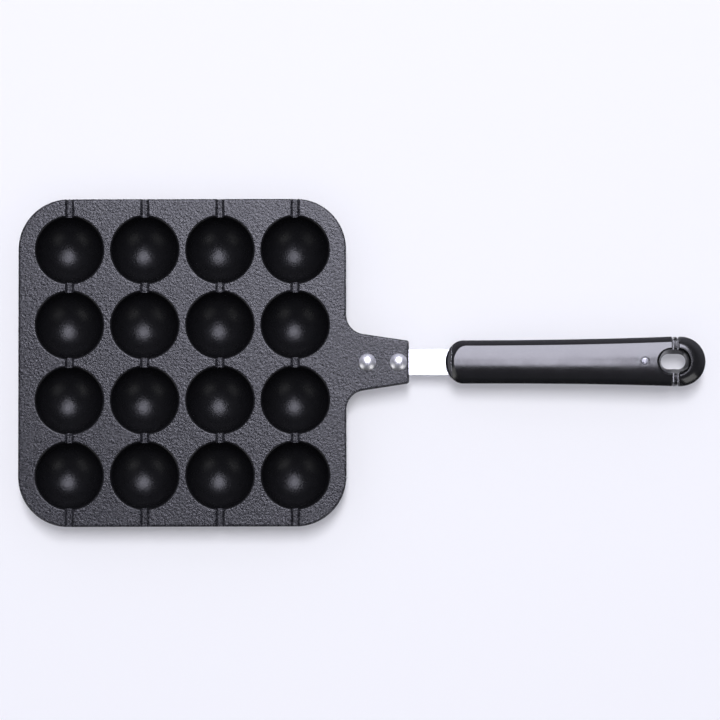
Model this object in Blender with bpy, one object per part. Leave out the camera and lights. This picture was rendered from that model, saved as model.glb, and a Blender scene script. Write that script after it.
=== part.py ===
"""Takoyaki pan: a cast plate with sixteen wells, a riveted steel strap and a moulded handle.

Lengths are in metres. The pan stands on the flat feet under its wells, at z = 0. The handle
points along +X, and the origin is the centre of the whole pan's footprint.
"""
import math

import bmesh
import bpy
from mathutils import Vector

# Gaps and cuts
CLEARANCE = 0.0003
OVERRUN = 0.004

# Wells
WELLS_PER_SIDE = 4
WELL_RADIUS = 0.0184
WELL_DEPTH = 0.017
WELL_RIM_ROUND = 0.0014
WELL_NECK = 0.0024
WELL_FLOOR_THICKNESS = 0.003
CUP_WALL = 0.0026
FOOT_RADIUS = 0.008

# Plate
PLATE_BORDER = 0.0087
PLATE_CORNER_RADIUS = 0.028
PLATE_THICKNESS = 0.004
PLATE_EDGE_CHAMFER = 0.0008

# Channels that join the wells of a column
CHANNEL_WIDTH = 0.0051
CHANNEL_FLOOR_WIDTH = 0.0026
CHANNEL_DEPTH = 0.002

# Tongue
TONGUE_LENGTH = 0.035
TONGUE_ROOT_WIDTH = 0.0343
TONGUE_END_WIDTH = 0.0243
TONGUE_FILLET_RADIUS = 0.011
TONGUE_END_ROUND = 0.0015
TONGUE_PAD_THICKNESS = 0.0015
TONGUE_PAD_INSET = 0.002
TONGUE_PAD_LENGTH = 0.037

# Rivets
RIVET_SPACING = 0.0174
RIVET_END_DISTANCE = 0.0059
RIVET_SHANK_RADIUS = 0.0024
RIVET_HEAD_RADIUS = 0.005
RIVET_HEAD_HEIGHT = 0.0022
RIVET_TAIL_RADIUS = 0.004
RIVET_TAIL_HEIGHT = 0.0018

# Strap and the tang inside the grip
STRAP_WIDTH = 0.015
STRAP_THICKNESS = 0.003
STRAP_OVERLAP = 0.030
STRAP_BEND_DISTANCE = 0.0035
STRAP_SHOWN_LENGTH = 0.0207
TANG_END_DISTANCE = 0.006
HANDLE_PITCH = math.radians(1.5)

# Collar at the handle's nose
COLLAR_LENGTH = 0.0029
COLLAR_NOSE_BULGE = 0.0018
COLLAR_WALL = 0.0012
COLLAR_FLARE = 0.0007
COLLAR_HEIGHT = 0.0124
COLLAR_EDGE_CHAMFER = 0.0012

# Grip
GRIP_LENGTH = 0.123
GRIP_FRONT_WIDTH = 0.0242
GRIP_REAR_WIDTH = 0.0277
GRIP_THICKNESS = 0.017
GRIP_NOSE_LENGTH = 0.009
GRIP_NOSE_WALL = 0.0016
GRIP_NOSE_HEIGHT = 0.0134
GRIP_FACET_INSET = 0.003
GRIP_CROWN = 0.0011
GRIP_SLOPE_DROP = 0.0045
GRIP_SWELL_POWER = 2.5

# Hang hole and the loop behind it
HOLE_LENGTH = 0.0184
HOLE_WIDTH = 0.015
HOLE_DRAFT = 0.0018
HOLE_CENTER_DISTANCE = 0.0011
BEAD_LENGTH = 0.0017
BEAD_INSET = 0.0003
NECK_LENGTH = 0.0009
LOOP_THICKNESS = 0.0135
LOOP_END_OFFSET = 0.0039
TENON_LENGTH = 0.0045
TENON_HEIGHT = 0.007
TENON_WALL = 0.0012

# Grip screw and its nut
SCREW_END_DISTANCE = 0.0153
SCREW_HEAD_RADIUS = 0.002
SCREW_HEAD_HEIGHT = 0.001
SCREW_HEAD_DOME = 0.0003
SCREW_RECESS_MARGIN = 0.0005
SCREW_SUNK_DEPTH = 0.0003
SCREW_SHANK_RADIUS = 0.0011
SCREW_SLOT_WIDTH = 0.0006
SCREW_SLOT_LENGTH = 0.0022
SCREW_SLOT_DEPTH = 0.0006
NUT_ACROSS_FLATS = 0.005
NUT_THICKNESS = 0.0022
NUT_SUNK_DEPTH = 0.0008

# Facets of the round shapes
WELL_SEGMENTS = 20
WELL_ARC_STEPS = 4
RIM_ARC_STEPS = 2
CUP_ARC_STEPS = 3
CORNER_STEPS = 7
FILLET_STEPS = 6
END_ROUND_STEPS = 3
RIVET_SEGMENTS = 16
RIVET_DOME_STEPS = 3
BORE_SEGMENTS = 16
NOSE_STATIONS = 6
GRIP_STATIONS = 10
HOLE_ARC_STEPS = 10
LOOP_STATIONS = 16
COLLAR_ARC_STEPS = 8

# Half of the grip's section, from the middle of the crown to the middle of the underside. The
# first share is of the facet's half width, the second of the crown's sagitta.
CROWN_SHARES = ((0.0, 0.0), (0.5, 0.25), (1.0, 1.0))
# From the facet's edge to the widest line: shares of the facet's inset and of the slope's drop.
SLOPE_SHARES = ((0.5, 0.35), (0.85, 0.7), (1.0, 1.0))
# Below the widest line: shares of the half width and of the depth left down to the underside.
UNDERSIDE_SHARES = ((0.985, 0.35), (0.9, 0.72), (0.7, 0.94), (0.42, 1.0), (0.0, 1.0))
# The loop's section above its middle, from the hole's waist outwards: shares of the arm's width
# from the hole's rim, and of half the loop's thickness.
LOOP_SECTION_SHARES = ((0.0, 0.78), (0.12, 0.95), (0.4, 1.0), (0.7, 0.8), (0.92, 0.42))
# The hole's waist is at the middle of the grip's thickness.
WAIST_SHARE = 0.5

# Sizes that follow from those above
WELL_RIM_RADIUS = WELL_RADIUS + WELL_RIM_ROUND
WELL_PITCH = 2 * WELL_RIM_RADIUS + WELL_NECK
WELL_SPAN = (WELLS_PER_SIDE - 1) * WELL_PITCH
PLATE_HALF = WELL_SPAN / 2 + WELL_RIM_RADIUS + PLATE_BORDER
PLATE_TOP = WELL_FLOOR_THICKNESS + WELL_DEPTH
PLATE_BOTTOM = PLATE_TOP - PLATE_THICKNESS
WELL_CAP_HEIGHT = WELL_DEPTH - WELL_RIM_ROUND
WELL_SPHERE_RADIUS = (WELL_RADIUS ** 2 + WELL_CAP_HEIGHT ** 2) / (2 * WELL_CAP_HEIGHT)
WELL_SPHERE_HEIGHT = WELL_FLOOR_THICKNESS + WELL_SPHERE_RADIUS
TONGUE_END = PLATE_HALF + TONGUE_LENGTH
PAD_BOTTOM = PLATE_BOTTOM - TONGUE_PAD_THICKNESS
STRAP_TOP = PAD_BOTTOM - CLEARANCE
STRAP_HEIGHT = STRAP_TOP - STRAP_THICKNESS / 2
STRAP_BOTTOM = STRAP_TOP - STRAP_THICKNESS
BEND_X = TONGUE_END + STRAP_BEND_DISTANCE
GRIP_START = STRAP_SHOWN_LENGTH - STRAP_BEND_DISTANCE + COLLAR_LENGTH + CLEARANCE
GRIP_END = GRIP_START + GRIP_LENGTH
HOLE_CENTER = GRIP_END + HOLE_CENTER_DISTANCE
HOLE_RADIUS = HOLE_WIDTH / 2
HOLE_SLOT_HALF = (HOLE_LENGTH - HOLE_WIDTH) / 2
GRIP_REAR_HALF = GRIP_REAR_WIDTH / 2
ARM_WIDTH = GRIP_REAR_HALF - HOLE_RADIUS
ARM_CENTER = HOLE_RADIUS + ARM_WIDTH / 2
TENON_WIDTH = ARM_WIDTH - 2 * (TENON_WALL + CLEARANCE)
BEAD_END = HOLE_CENTER + BEAD_LENGTH
LOOP_START = BEAD_END + NECK_LENGTH
LOOP_OUTER_CENTER = HOLE_CENTER + LOOP_END_OFFSET
LOOP_INNER_CENTER = HOLE_CENTER + HOLE_SLOT_HALF
LOOP_END = LOOP_OUTER_CENTER + GRIP_REAR_HALF
SCREW_X = GRIP_END - SCREW_END_DISTANCE
TANG_END = SCREW_X + TANG_END_DISTANCE
GRIP_TOP = GRIP_THICKNESS / 2
SCREW_HEAD_TOP = GRIP_TOP - SCREW_SUNK_DEPTH
SCREW_HEAD_BASE = SCREW_HEAD_TOP - SCREW_HEAD_HEIGHT
NUT_BOTTOM = NUT_SUNK_DEPTH - GRIP_THICKNESS / 2
NUT_TOP = NUT_BOTTOM + NUT_THICKNESS
OUTER_RIVET_X = TONGUE_END - RIVET_END_DISTANCE
INNER_RIVET_X = OUTER_RIVET_X - RIVET_SPACING
OVERALL_LENGTH = PLATE_HALF + BEND_X + LOOP_END * math.cos(HANDLE_PITCH)
PAN_CENTER_X = PLATE_HALF - OVERALL_LENGTH / 2


def clear_scene():
    """Remove every object that is in the file."""
    for item in list(bpy.data.objects):
        bpy.data.objects.remove(item, do_unlink=True)


def make_material(name, color, roughness, metallic):
    """A Principled material of one colour."""
    material = bpy.data.materials.new(name)
    material.use_nodes = True
    shader = material.node_tree.nodes["Principled BSDF"]
    shader.inputs["Base Color"].default_value = (*color, 1.0)
    shader.inputs["Roughness"].default_value = roughness
    shader.inputs["Metallic"].default_value = metallic
    material.diffuse_color = (*color, 1.0)
    return material


def add_solid(name, build):
    """A new object whose mesh is made by build(bm), with its faces pointing out."""
    bm = bmesh.new()
    build(bm)
    bmesh.ops.recalc_face_normals(bm, faces=bm.faces[:])
    mesh = bpy.data.meshes.new(name)
    bm.to_mesh(mesh)
    bm.free()
    solid = bpy.data.objects.new(name, mesh)
    bpy.context.scene.collection.objects.link(solid)
    return solid


def loft(bm, rings):
    """Close a solid through rings of equally many points, with a cap at each end."""
    loops = [[bm.verts.new(point) for point in ring] for ring in rings]
    count = len(loops[0])
    for lower, upper in zip(loops, loops[1:]):
        for index in range(count):
            following = (index + 1) % count
            bm.faces.new((lower[index], lower[following], upper[following], upper[index]))
    bm.faces.new(loops[0])
    bm.faces.new(loops[-1])


def turn(bm, profile, segments, center=(0.0, 0.0)):
    """Turn a profile of (radius, height) points about a vertical axis.

    The profile starts and ends on the axis.
    """
    first = bm.verts.new((center[0], center[1], profile[0][1]))
    last = bm.verts.new((center[0], center[1], profile[-1][1]))
    loops = []
    for radius, height in profile[1:-1]:
        angles = [2 * math.pi * index / segments for index in range(segments)]
        loops.append([
            bm.verts.new((center[0] + radius * math.cos(angle),
                          center[1] + radius * math.sin(angle), height))
            for angle in angles
        ])
    for index in range(segments):
        following = (index + 1) % segments
        bm.faces.new((first, loops[0][index], loops[0][following]))
        bm.faces.new((last, loops[-1][following], loops[-1][index]))
        for upper, lower in zip(loops, loops[1:]):
            bm.faces.new((upper[index], lower[index], lower[following], upper[following]))


def box(bm, low, high):
    """A box between two corners."""
    corners = [(low[0], low[1]), (high[0], low[1]), (high[0], high[1]), (low[0], high[1])]
    loft(bm, [[(x, y, height) for x, y in corners] for height in (low[2], high[2])])


def arc(center, radius, start, end, steps):
    """Points along an arc in the plan, from one angle to another, in degrees."""
    points = []
    for index in range(steps + 1):
        angle = math.radians(start + (end - start) * index / steps)
        points.append((center[0] + radius * math.cos(angle),
                       center[1] + radius * math.sin(angle)))
    return points


def combine(target, tool, operation):
    """Cut, join or intersect a solid with a tool solid, and remove the tool."""
    modifier = target.modifiers.new(operation.title(), "BOOLEAN")
    modifier.operation = operation
    modifier.solver = "EXACT"
    modifier.object = tool
    bpy.context.view_layer.update()
    evaluated = target.evaluated_get(bpy.context.evaluated_depsgraph_get())
    mesh = bpy.data.meshes.new_from_object(evaluated)
    mesh.name = target.name
    target.modifiers.clear()
    target.data = mesh
    bpy.data.objects.remove(tool, do_unlink=True)


def finish_solid(solid, material, parent, sharp_degrees=32.0):
    """Give a finished solid its material, its parent and smooth round faces."""
    solid.data.materials.clear()
    solid.data.materials.append(material)
    solid.data.shade_smooth()
    solid.data.set_sharp_from_angle(angle=math.radians(sharp_degrees))
    solid.parent = parent
    return solid


def add_empty(name, location, parent=None):
    """A guide that carries other objects."""
    empty = bpy.data.objects.new(name, None)
    bpy.context.scene.collection.objects.link(empty)
    empty.location = location
    empty.parent = parent
    return empty


def well_centers():
    """The plan positions of all wells."""
    places = [index * WELL_PITCH - WELL_SPAN / 2 for index in range(WELLS_PER_SIDE)]
    return [(x, y) for x in places for y in places]


def plate_outline(inset):
    """The plate and its tongue in plan, moved inwards by an inset."""
    corner = PLATE_HALF - PLATE_CORNER_RADIUS
    corner_radius = PLATE_CORNER_RADIUS - inset
    taper = math.atan2((TONGUE_ROOT_WIDTH - TONGUE_END_WIDTH) / 2, TONGUE_LENGTH)
    fillet_x = PLATE_HALF + TONGUE_FILLET_RADIUS
    line_y = TONGUE_ROOT_WIDTH / 2 - TONGUE_FILLET_RADIUS * math.tan(taper)
    fillet_y = line_y + TONGUE_FILLET_RADIUS / math.cos(taper)
    fillet_radius = TONGUE_FILLET_RADIUS + inset
    end_center_x = TONGUE_END - TONGUE_END_ROUND
    end_center_y = TONGUE_END_WIDTH / 2 - TONGUE_END_ROUND
    end_radius = TONGUE_END_ROUND - inset
    taper_angle = math.degrees(taper)
    upper = arc((fillet_x, fillet_y), fillet_radius, 270 - taper_angle, 180, FILLET_STEPS)
    upper_end = arc((end_center_x, end_center_y), end_radius, 0, 90 - taper_angle,
                    END_ROUND_STEPS)
    right_side = upper_end + upper
    lower_side = [(x, -y) for x, y in reversed(right_side)]
    points = lower_side + right_side
    points += arc((corner, corner), corner_radius, 0, 90, CORNER_STEPS)
    points += arc((-corner, corner), corner_radius, 90, 180, CORNER_STEPS)
    points += arc((-corner, -corner), corner_radius, 180, 270, CORNER_STEPS)
    points += arc((corner, -corner), corner_radius, 270, 360, CORNER_STEPS)
    return points


def build_plate(bm):
    """The flat plate with its tongue, with chamfered edges."""
    levels = (
        (PLATE_BOTTOM, PLATE_EDGE_CHAMFER),
        (PLATE_BOTTOM + PLATE_EDGE_CHAMFER, 0.0),
        (PLATE_TOP - PLATE_EDGE_CHAMFER, 0.0),
        (PLATE_TOP, PLATE_EDGE_CHAMFER),
    )
    loft(bm, [[(x, y, height) for x, y in plate_outline(inset)] for height, inset in levels])


def build_tongue_pad(bm):
    """The thickened underside of the tongue, which the strap lies against."""
    start = TONGUE_END - TONGUE_PAD_INSET - TONGUE_PAD_LENGTH
    end = TONGUE_END - TONGUE_PAD_INSET
    half_start = TONGUE_END_WIDTH / 2
    half_end = TONGUE_END_WIDTH / 2 - TONGUE_PAD_INSET
    outline = ((start, -half_start), (end, -half_end), (end, half_end), (start, half_start))
    top = PLATE_BOTTOM + PLATE_THICKNESS / 2
    loft(bm, [[(x, y, height) for x, y in outline] for height in (PAD_BOTTOM, top)])


def sphere_arc(radius, start_angle, end_angle, steps):
    """Points (radius, height) on the wells' sphere, at angles from straight down."""
    points = []
    for index in range(steps + 1):
        angle = start_angle + (end_angle - start_angle) * index / steps
        points.append((radius * math.sin(angle), WELL_SPHERE_HEIGHT - radius * math.cos(angle)))
    return points


def build_cup(bm, center):
    """The round outside of one well, with its flat foot, as far as the middle of the plate."""
    radius = WELL_SPHERE_RADIUS + CUP_WALL
    top_angle = math.acos((WELL_SPHERE_HEIGHT - PLATE_BOTTOM) / radius)
    foot_angle = math.asin(FOOT_RADIUS / radius)
    bowl = sphere_arc(radius, top_angle, foot_angle, CUP_ARC_STEPS)
    inside_plate = PLATE_BOTTOM + PLATE_THICKNESS / 2
    profile = [(0.0, inside_plate), (bowl[0][0], inside_plate)]
    profile += bowl + [(FOOT_RADIUS, 0.0), (0.0, 0.0)]
    turn(bm, profile, WELL_SEGMENTS, center)


def well_profile():
    """The inside of a well, from above the plate down to its bottom."""
    rim_height = PLATE_TOP - WELL_RIM_ROUND
    rim_angle = math.acos((WELL_SPHERE_HEIGHT - rim_height) / WELL_SPHERE_RADIUS)
    above = PLATE_TOP + OVERRUN
    profile = [(0.0, above), (WELL_RIM_RADIUS, above)]
    profile += arc((WELL_RIM_RADIUS, rim_height), WELL_RIM_ROUND, 90, 180, RIM_ARC_STEPS)
    profile += sphere_arc(WELL_SPHERE_RADIUS, rim_angle, 0.0, WELL_ARC_STEPS)[1:]
    return profile


def build_wells(bm):
    """The hollows of all wells."""
    for center in well_centers():
        turn(bm, well_profile(), WELL_SEGMENTS, center)


def build_channels(bm):
    """One channel along Y through each column of wells, with sloping sides."""
    slope = (CHANNEL_WIDTH - CHANNEL_FLOOR_WIDTH) / 2 / CHANNEL_DEPTH
    floor = PLATE_TOP - CHANNEL_DEPTH
    above = PLATE_TOP + OVERRUN
    floor_half = CHANNEL_FLOOR_WIDTH / 2
    top_half = CHANNEL_WIDTH / 2 + OVERRUN * slope
    reach = PLATE_HALF + OVERRUN
    for column in range(WELLS_PER_SIDE):
        x = column * WELL_PITCH - WELL_SPAN / 2
        section = (
            (x - floor_half, floor), (x + floor_half, floor),
            (x + top_half, above), (x - top_half, above),
        )
        loft(bm, [[(across, y, height) for across, height in section] for y in (-reach, reach)])


def build_rivet_holes(bm):
    """The holes for both rivet shanks."""
    radius = RIVET_SHANK_RADIUS + CLEARANCE
    low = STRAP_BOTTOM - OVERRUN
    high = PLATE_TOP + OVERRUN
    profile = [(0.0, high), (radius, high), (radius, low), (0.0, low)]
    for x in (INNER_RIVET_X, OUTER_RIVET_X):
        turn(bm, profile, RIVET_SEGMENTS, (x, 0.0))


def make_pan_body(material, parent):
    """The casting: plate, tongue, cups, wells and channels in one piece."""
    pan = add_solid("pan_body", build_plate)
    combine(pan, add_solid("tongue_pad", build_tongue_pad), "UNION")
    for center in well_centers():
        cup = add_solid("cup", lambda bm, place=center: build_cup(bm, place))
        combine(pan, cup, "UNION")
    combine(pan, add_solid("wells", build_wells), "DIFFERENCE")
    combine(pan, add_solid("channels", build_channels), "DIFFERENCE")
    combine(pan, add_solid("rivet_holes", build_rivet_holes), "DIFFERENCE")
    return finish_solid(pan, material, parent)


def dome(radius, height, base, direction):
    """A low dome's profile, from its top on the axis to its rim."""
    points = []
    for index in range(RIVET_DOME_STEPS + 1):
        angle = math.pi / 2 * index / RIVET_DOME_STEPS
        points.append((radius * math.sin(angle), base + direction * height * math.cos(angle)))
    return points


def build_rivet(bm):
    """A solid rivet: a domed head above the tongue and a formed tail below the strap."""
    head_base = PLATE_TOP + CLEARANCE
    tail_base = STRAP_BOTTOM - CLEARANCE
    profile = dome(RIVET_HEAD_RADIUS, RIVET_HEAD_HEIGHT, head_base, 1)
    profile += [(RIVET_SHANK_RADIUS, head_base), (RIVET_SHANK_RADIUS, tail_base)]
    profile += reversed(dome(RIVET_TAIL_RADIUS, RIVET_TAIL_HEIGHT, tail_base, -1))
    turn(bm, profile, RIVET_SEGMENTS)


def make_rivet(name, x, material, parent):
    """One rivet at its place along the tongue."""
    rivet = finish_solid(add_solid(name, build_rivet), material, parent)
    rivet.location = (x, 0.0, 0.0)
    return rivet


def build_strap(bm):
    """The strap: level under the tongue, then tilted up with the handle to the tang's end."""
    half_width = STRAP_WIDTH / 2
    half_thickness = STRAP_THICKNESS / 2
    stations = (
        (Vector((TONGUE_END - STRAP_OVERLAP, 0.0, STRAP_HEIGHT)), 0.0),
        (Vector((BEND_X, 0.0, STRAP_HEIGHT)), HANDLE_PITCH / 2),
        (Vector((BEND_X, 0.0, STRAP_HEIGHT))
         + TANG_END * Vector((math.cos(HANDLE_PITCH), 0.0, math.sin(HANDLE_PITCH))),
         HANDLE_PITCH),
    )
    rings = []
    for center, tilt in stations:
        up = half_thickness * Vector((-math.sin(tilt), 0.0, math.cos(tilt)))
        side = Vector((0.0, half_width, 0.0))
        rings.append((center - side - up, center + side - up,
                      center + side + up, center - side + up))
    loft(bm, rings)


def build_screw_hole(bm):
    """The hole for the grip screw, in the handle's own frame."""
    radius = SCREW_SHANK_RADIUS + CLEARANCE
    reach = GRIP_THICKNESS / 2 + OVERRUN
    profile = [(0.0, reach), (radius, reach), (radius, -reach), (0.0, -reach)]
    turn(bm, profile, BORE_SEGMENTS, (SCREW_X, 0.0))


def make_strap(material, parent, handle_axis):
    """The steel strap with its rivet holes and screw hole."""
    strap = add_solid("handle_strap", build_strap)
    combine(strap, add_solid("rivet_holes", build_rivet_holes), "DIFFERENCE")
    hole = add_solid("screw_hole", build_screw_hole)
    hole.location = handle_axis.location
    hole.rotation_euler = handle_axis.rotation_euler
    combine(strap, hole, "DIFFERENCE")
    return finish_solid(strap, material, parent)


def build_tang_slot(bm):
    """The pocket in the collar and the grip that the tang fills."""
    half_width = STRAP_WIDTH / 2 + CLEARANCE
    half_height = STRAP_THICKNESS / 2 + CLEARANCE
    start = GRIP_START - COLLAR_LENGTH - OVERRUN
    box(bm, (start, -half_width, -half_height), (TANG_END + CLEARANCE, half_width, half_height))


def collar_outline(inset):
    """The collar in plan: a bulging front, flared sides and a flat back."""
    back = GRIP_START - CLEARANCE - inset
    back_half = STRAP_WIDTH / 2 + CLEARANCE + COLLAR_WALL + COLLAR_FLARE - inset
    front_half = back_half - COLLAR_FLARE
    front = GRIP_START - CLEARANCE - COLLAR_LENGTH + inset
    points = [(back, -back_half), (back, back_half)]
    for index in range(COLLAR_ARC_STEPS + 1):
        share = 1 - 2 * index / COLLAR_ARC_STEPS
        points.append((front + COLLAR_NOSE_BULGE * share ** 2, front_half * share))
    return points


def build_collar(bm):
    """The collar's outer shape, with chamfered upper and lower edges."""
    half = COLLAR_HEIGHT / 2
    levels = (
        (-half, COLLAR_EDGE_CHAMFER / 2),
        (COLLAR_EDGE_CHAMFER - half, 0.0),
        (half - COLLAR_EDGE_CHAMFER, 0.0),
        (half, COLLAR_EDGE_CHAMFER / 2),
    )
    loft(bm, [[(x, y, height) for x, y in collar_outline(inset)] for height, inset in levels])


def make_collar(material, handle_axis):
    """The black ring round the strap at the handle's nose."""
    collar = add_solid("front_collar", build_collar)
    combine(collar, add_solid("tang_slot", build_tang_slot), "DIFFERENCE")
    return finish_solid(collar, material, handle_axis)


def grip_section(distance):
    """Half width, top and bottom of the grip at a distance from its front."""
    nose_half = STRAP_WIDTH / 2 + CLEARANCE + GRIP_NOSE_WALL
    swell = (distance / GRIP_LENGTH) ** GRIP_SWELL_POWER
    half_width = (GRIP_FRONT_WIDTH + (GRIP_REAR_WIDTH - GRIP_FRONT_WIDTH) * swell) / 2
    half_height = GRIP_THICKNESS / 2
    left = max(0.0, 1 - distance / GRIP_NOSE_LENGTH)
    fall = 1 - math.sqrt(1 - left ** 2)
    half_width -= (half_width - nose_half) * fall
    half_height -= (half_height - GRIP_NOSE_HEIGHT / 2) * fall
    return half_width, half_height


def grip_ring(distance):
    """The grip's section as a ring of points, facing along the handle."""
    half_width, half_height = grip_section(distance)
    facet_half = half_width - GRIP_FACET_INSET
    facet_height = half_height - GRIP_CROWN
    widest_height = facet_height - GRIP_SLOPE_DROP
    half = [(facet_half * across, half_height - GRIP_CROWN * down)
            for across, down in CROWN_SHARES]
    half += [(facet_half + GRIP_FACET_INSET * out, facet_height - GRIP_SLOPE_DROP * down)
             for out, down in SLOPE_SHARES]
    depth = widest_height + half_height
    half += [(half_width * out, widest_height - depth * down)
             for out, down in UNDERSIDE_SHARES]
    mirrored = [(-across, height) for across, height in reversed(half[1:-1])]
    x = GRIP_START + distance
    return [(x, across, height) for across, height in half + mirrored]


def grip_distances():
    """Where the grip's sections lie: close together at the nose, then evenly spaced."""
    nose = [GRIP_NOSE_LENGTH * (1 - math.cos(math.pi / 2 * index / NOSE_STATIONS))
            for index in range(NOSE_STATIONS + 1)]
    rest = GRIP_LENGTH - GRIP_NOSE_LENGTH
    return nose + [GRIP_NOSE_LENGTH + rest * index / GRIP_STATIONS
                   for index in range(1, GRIP_STATIONS + 1)]


def build_grip(bm):
    """The grip's outer shape."""
    loft(bm, [grip_ring(distance) for distance in grip_distances()])
    bmesh.ops.triangulate(bm, faces=bm.faces[:], quad_method="FIXED")


def hole_outline(inset):
    """The hang hole in plan: a slot with round ends, moved inwards by an inset."""
    radius = HOLE_RADIUS - inset
    points = arc((HOLE_CENTER + HOLE_SLOT_HALF, 0.0), radius, -90, 90, HOLE_ARC_STEPS)
    points += arc((HOLE_CENTER - HOLE_SLOT_HALF, 0.0), radius, 90, 270, HOLE_ARC_STEPS)
    return points


def build_hang_hole(bm):
    """The hang hole, narrowest half way through the handle."""
    half = GRIP_THICKNESS / 2
    waist = half - GRIP_THICKNESS * WAIST_SHARE
    spread = HOLE_DRAFT * OVERRUN / half
    levels = ((-half - OVERRUN, -spread), (waist, HOLE_DRAFT), (half + OVERRUN, -spread))
    loft(bm, [[(x, y, height) for x, y in hole_outline(inset)] for height, inset in levels])


def build_screw_recess(bm):
    """The round recess for the screw's head."""
    radius = SCREW_HEAD_RADIUS + SCREW_RECESS_MARGIN
    low = SCREW_HEAD_BASE - CLEARANCE
    high = GRIP_TOP + OVERRUN
    profile = [(0.0, high), (radius, high), (radius, low), (0.0, low)]
    turn(bm, profile, BORE_SEGMENTS, (SCREW_X, 0.0))


def hexagon(across_flats, x):
    """A hexagon in plan about the screw's axis."""
    corner_radius = across_flats / 2 / math.cos(math.pi / 6)
    return arc((x, 0.0), corner_radius, 0, 300, 5)


def build_nut_pocket(bm):
    """The hexagonal pocket under the grip."""
    outline = hexagon(NUT_ACROSS_FLATS + 2 * CLEARANCE, SCREW_X)
    levels = (-GRIP_THICKNESS / 2 - OVERRUN, NUT_TOP + CLEARANCE)
    loft(bm, [[(x, y, height) for x, y in outline] for height in levels])


def build_sockets(bm):
    """The blind sockets in the grip's two arms for the loop's tenons."""
    half_width = TENON_WIDTH / 2 + CLEARANCE
    half_height = TENON_HEIGHT / 2 + CLEARANCE
    start = GRIP_END - TENON_LENGTH - CLEARANCE
    for side in (-1, 1):
        y = side * ARM_CENTER
        box(bm, (start, y - half_width, -half_height),
            (GRIP_END + OVERRUN, y + half_width, half_height))


def make_grip(material, handle_axis):
    """The moulded grip with its pocket, hole, recess and sockets."""
    grip = add_solid("handle_grip", build_grip)
    tools = (
        ("hang_hole", build_hang_hole), ("tang_slot", build_tang_slot),
        ("screw_hole", build_screw_hole), ("screw_recess", build_screw_recess),
        ("nut_pocket", build_nut_pocket), ("sockets", build_sockets),
    )
    for name, build in tools:
        combine(grip, add_solid(name, build), "DIFFERENCE")
    return finish_solid(grip, material, handle_axis)


def point_along(outline, share):
    """The point at a share of the length of an open outline."""
    lengths = [math.dist(start, end) for start, end in zip(outline, outline[1:])]
    left = share * sum(lengths)
    for start, end, length in zip(outline, outline[1:], lengths):
        if left <= length:
            part = left / length
            return Vector(start).lerp(Vector(end), part)
        left -= length
    return Vector(outline[-1])


def loop_edges():
    """The loop's inner and outer edges in plan, from one arm round to the other."""
    fine_steps = 4 * LOOP_STATIONS
    inner_angle = math.degrees(math.acos((LOOP_START - LOOP_INNER_CENTER) / HOLE_RADIUS))
    inner = arc((LOOP_INNER_CENTER, 0.0), HOLE_RADIUS, -inner_angle, inner_angle, fine_steps)
    outer = [(LOOP_START, -GRIP_REAR_HALF)]
    outer += arc((LOOP_OUTER_CENTER, 0.0), GRIP_REAR_HALF, -90, 90, fine_steps)
    outer += [(LOOP_START, GRIP_REAR_HALF)]
    return inner, outer


def build_loop(bm):
    """The C-shaped end, swept round the back of the hang hole."""
    inner_edge, outer_edge = loop_edges()
    half = LOOP_THICKNESS / 2
    rings = []
    for index in range(LOOP_STATIONS + 1):
        share = index / LOOP_STATIONS
        inner = point_along(inner_edge, share)
        outer = point_along(outer_edge, share)
        across = outer - inner
        waist = inner - HOLE_DRAFT * across.normalized()
        upper = [(inner + out * across, half * up) for out, up in LOOP_SECTION_SHARES]
        lower = [(place, -height) for place, height in reversed(upper)]
        section = [(waist, 0.0)] + upper + [(outer, 0.0)] + lower
        rings.append([(place.x, place.y, height) for place, height in section])
    loft(bm, rings)
    bmesh.ops.triangulate(bm, faces=bm.faces[:], quad_method="FIXED")


def build_loop_arm(bm, side):
    """One arm's tenon, bead and neck, in front of the loop."""
    y = side * ARM_CENTER
    slim = (TENON_WIDTH / 2, TENON_HEIGHT / 2)
    full = (ARM_WIDTH / 2 - BEAD_INSET, LOOP_THICKNESS / 2 - BEAD_INSET)
    stations = (
        (GRIP_END - TENON_LENGTH, slim), (HOLE_CENTER, slim), (HOLE_CENTER, full),
        (BEAD_END, full), (BEAD_END, slim), (LOOP_START + BEAD_LENGTH, slim),
    )
    rings = []
    for x, (half_width, half_height) in stations:
        rings.append([
            (x, y - half_width, -half_height), (x, y + half_width, -half_height),
            (x, y + half_width, half_height), (x, y - half_width, half_height),
        ])
    loft(bm, rings)


def make_loop(material, handle_axis):
    """The C-shaped end piece behind the hang hole."""
    end_piece = add_solid("hanging_loop", build_loop)
    for side in (-1, 1):
        arm = add_solid("loop_arm", lambda bm, sign=side: build_loop_arm(bm, sign))
        combine(end_piece, arm, "UNION")
    return finish_solid(end_piece, material, handle_axis, sharp_degrees=40.0)


def build_screw(bm):
    """The screw: a low domed head and a plain shank that ends at the nut's lower face."""
    head_base = SCREW_HEAD_BASE
    edge_height = SCREW_HEAD_TOP - SCREW_HEAD_DOME
    profile = [
        (0.0, SCREW_HEAD_TOP), (SCREW_HEAD_RADIUS / 2, SCREW_HEAD_TOP - SCREW_HEAD_DOME / 4),
        (SCREW_HEAD_RADIUS, edge_height), (SCREW_HEAD_RADIUS, head_base),
        (SCREW_SHANK_RADIUS, head_base), (SCREW_SHANK_RADIUS, NUT_BOTTOM), (0.0, NUT_BOTTOM),
    ]
    turn(bm, profile, BORE_SEGMENTS, (SCREW_X, 0.0))


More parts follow.
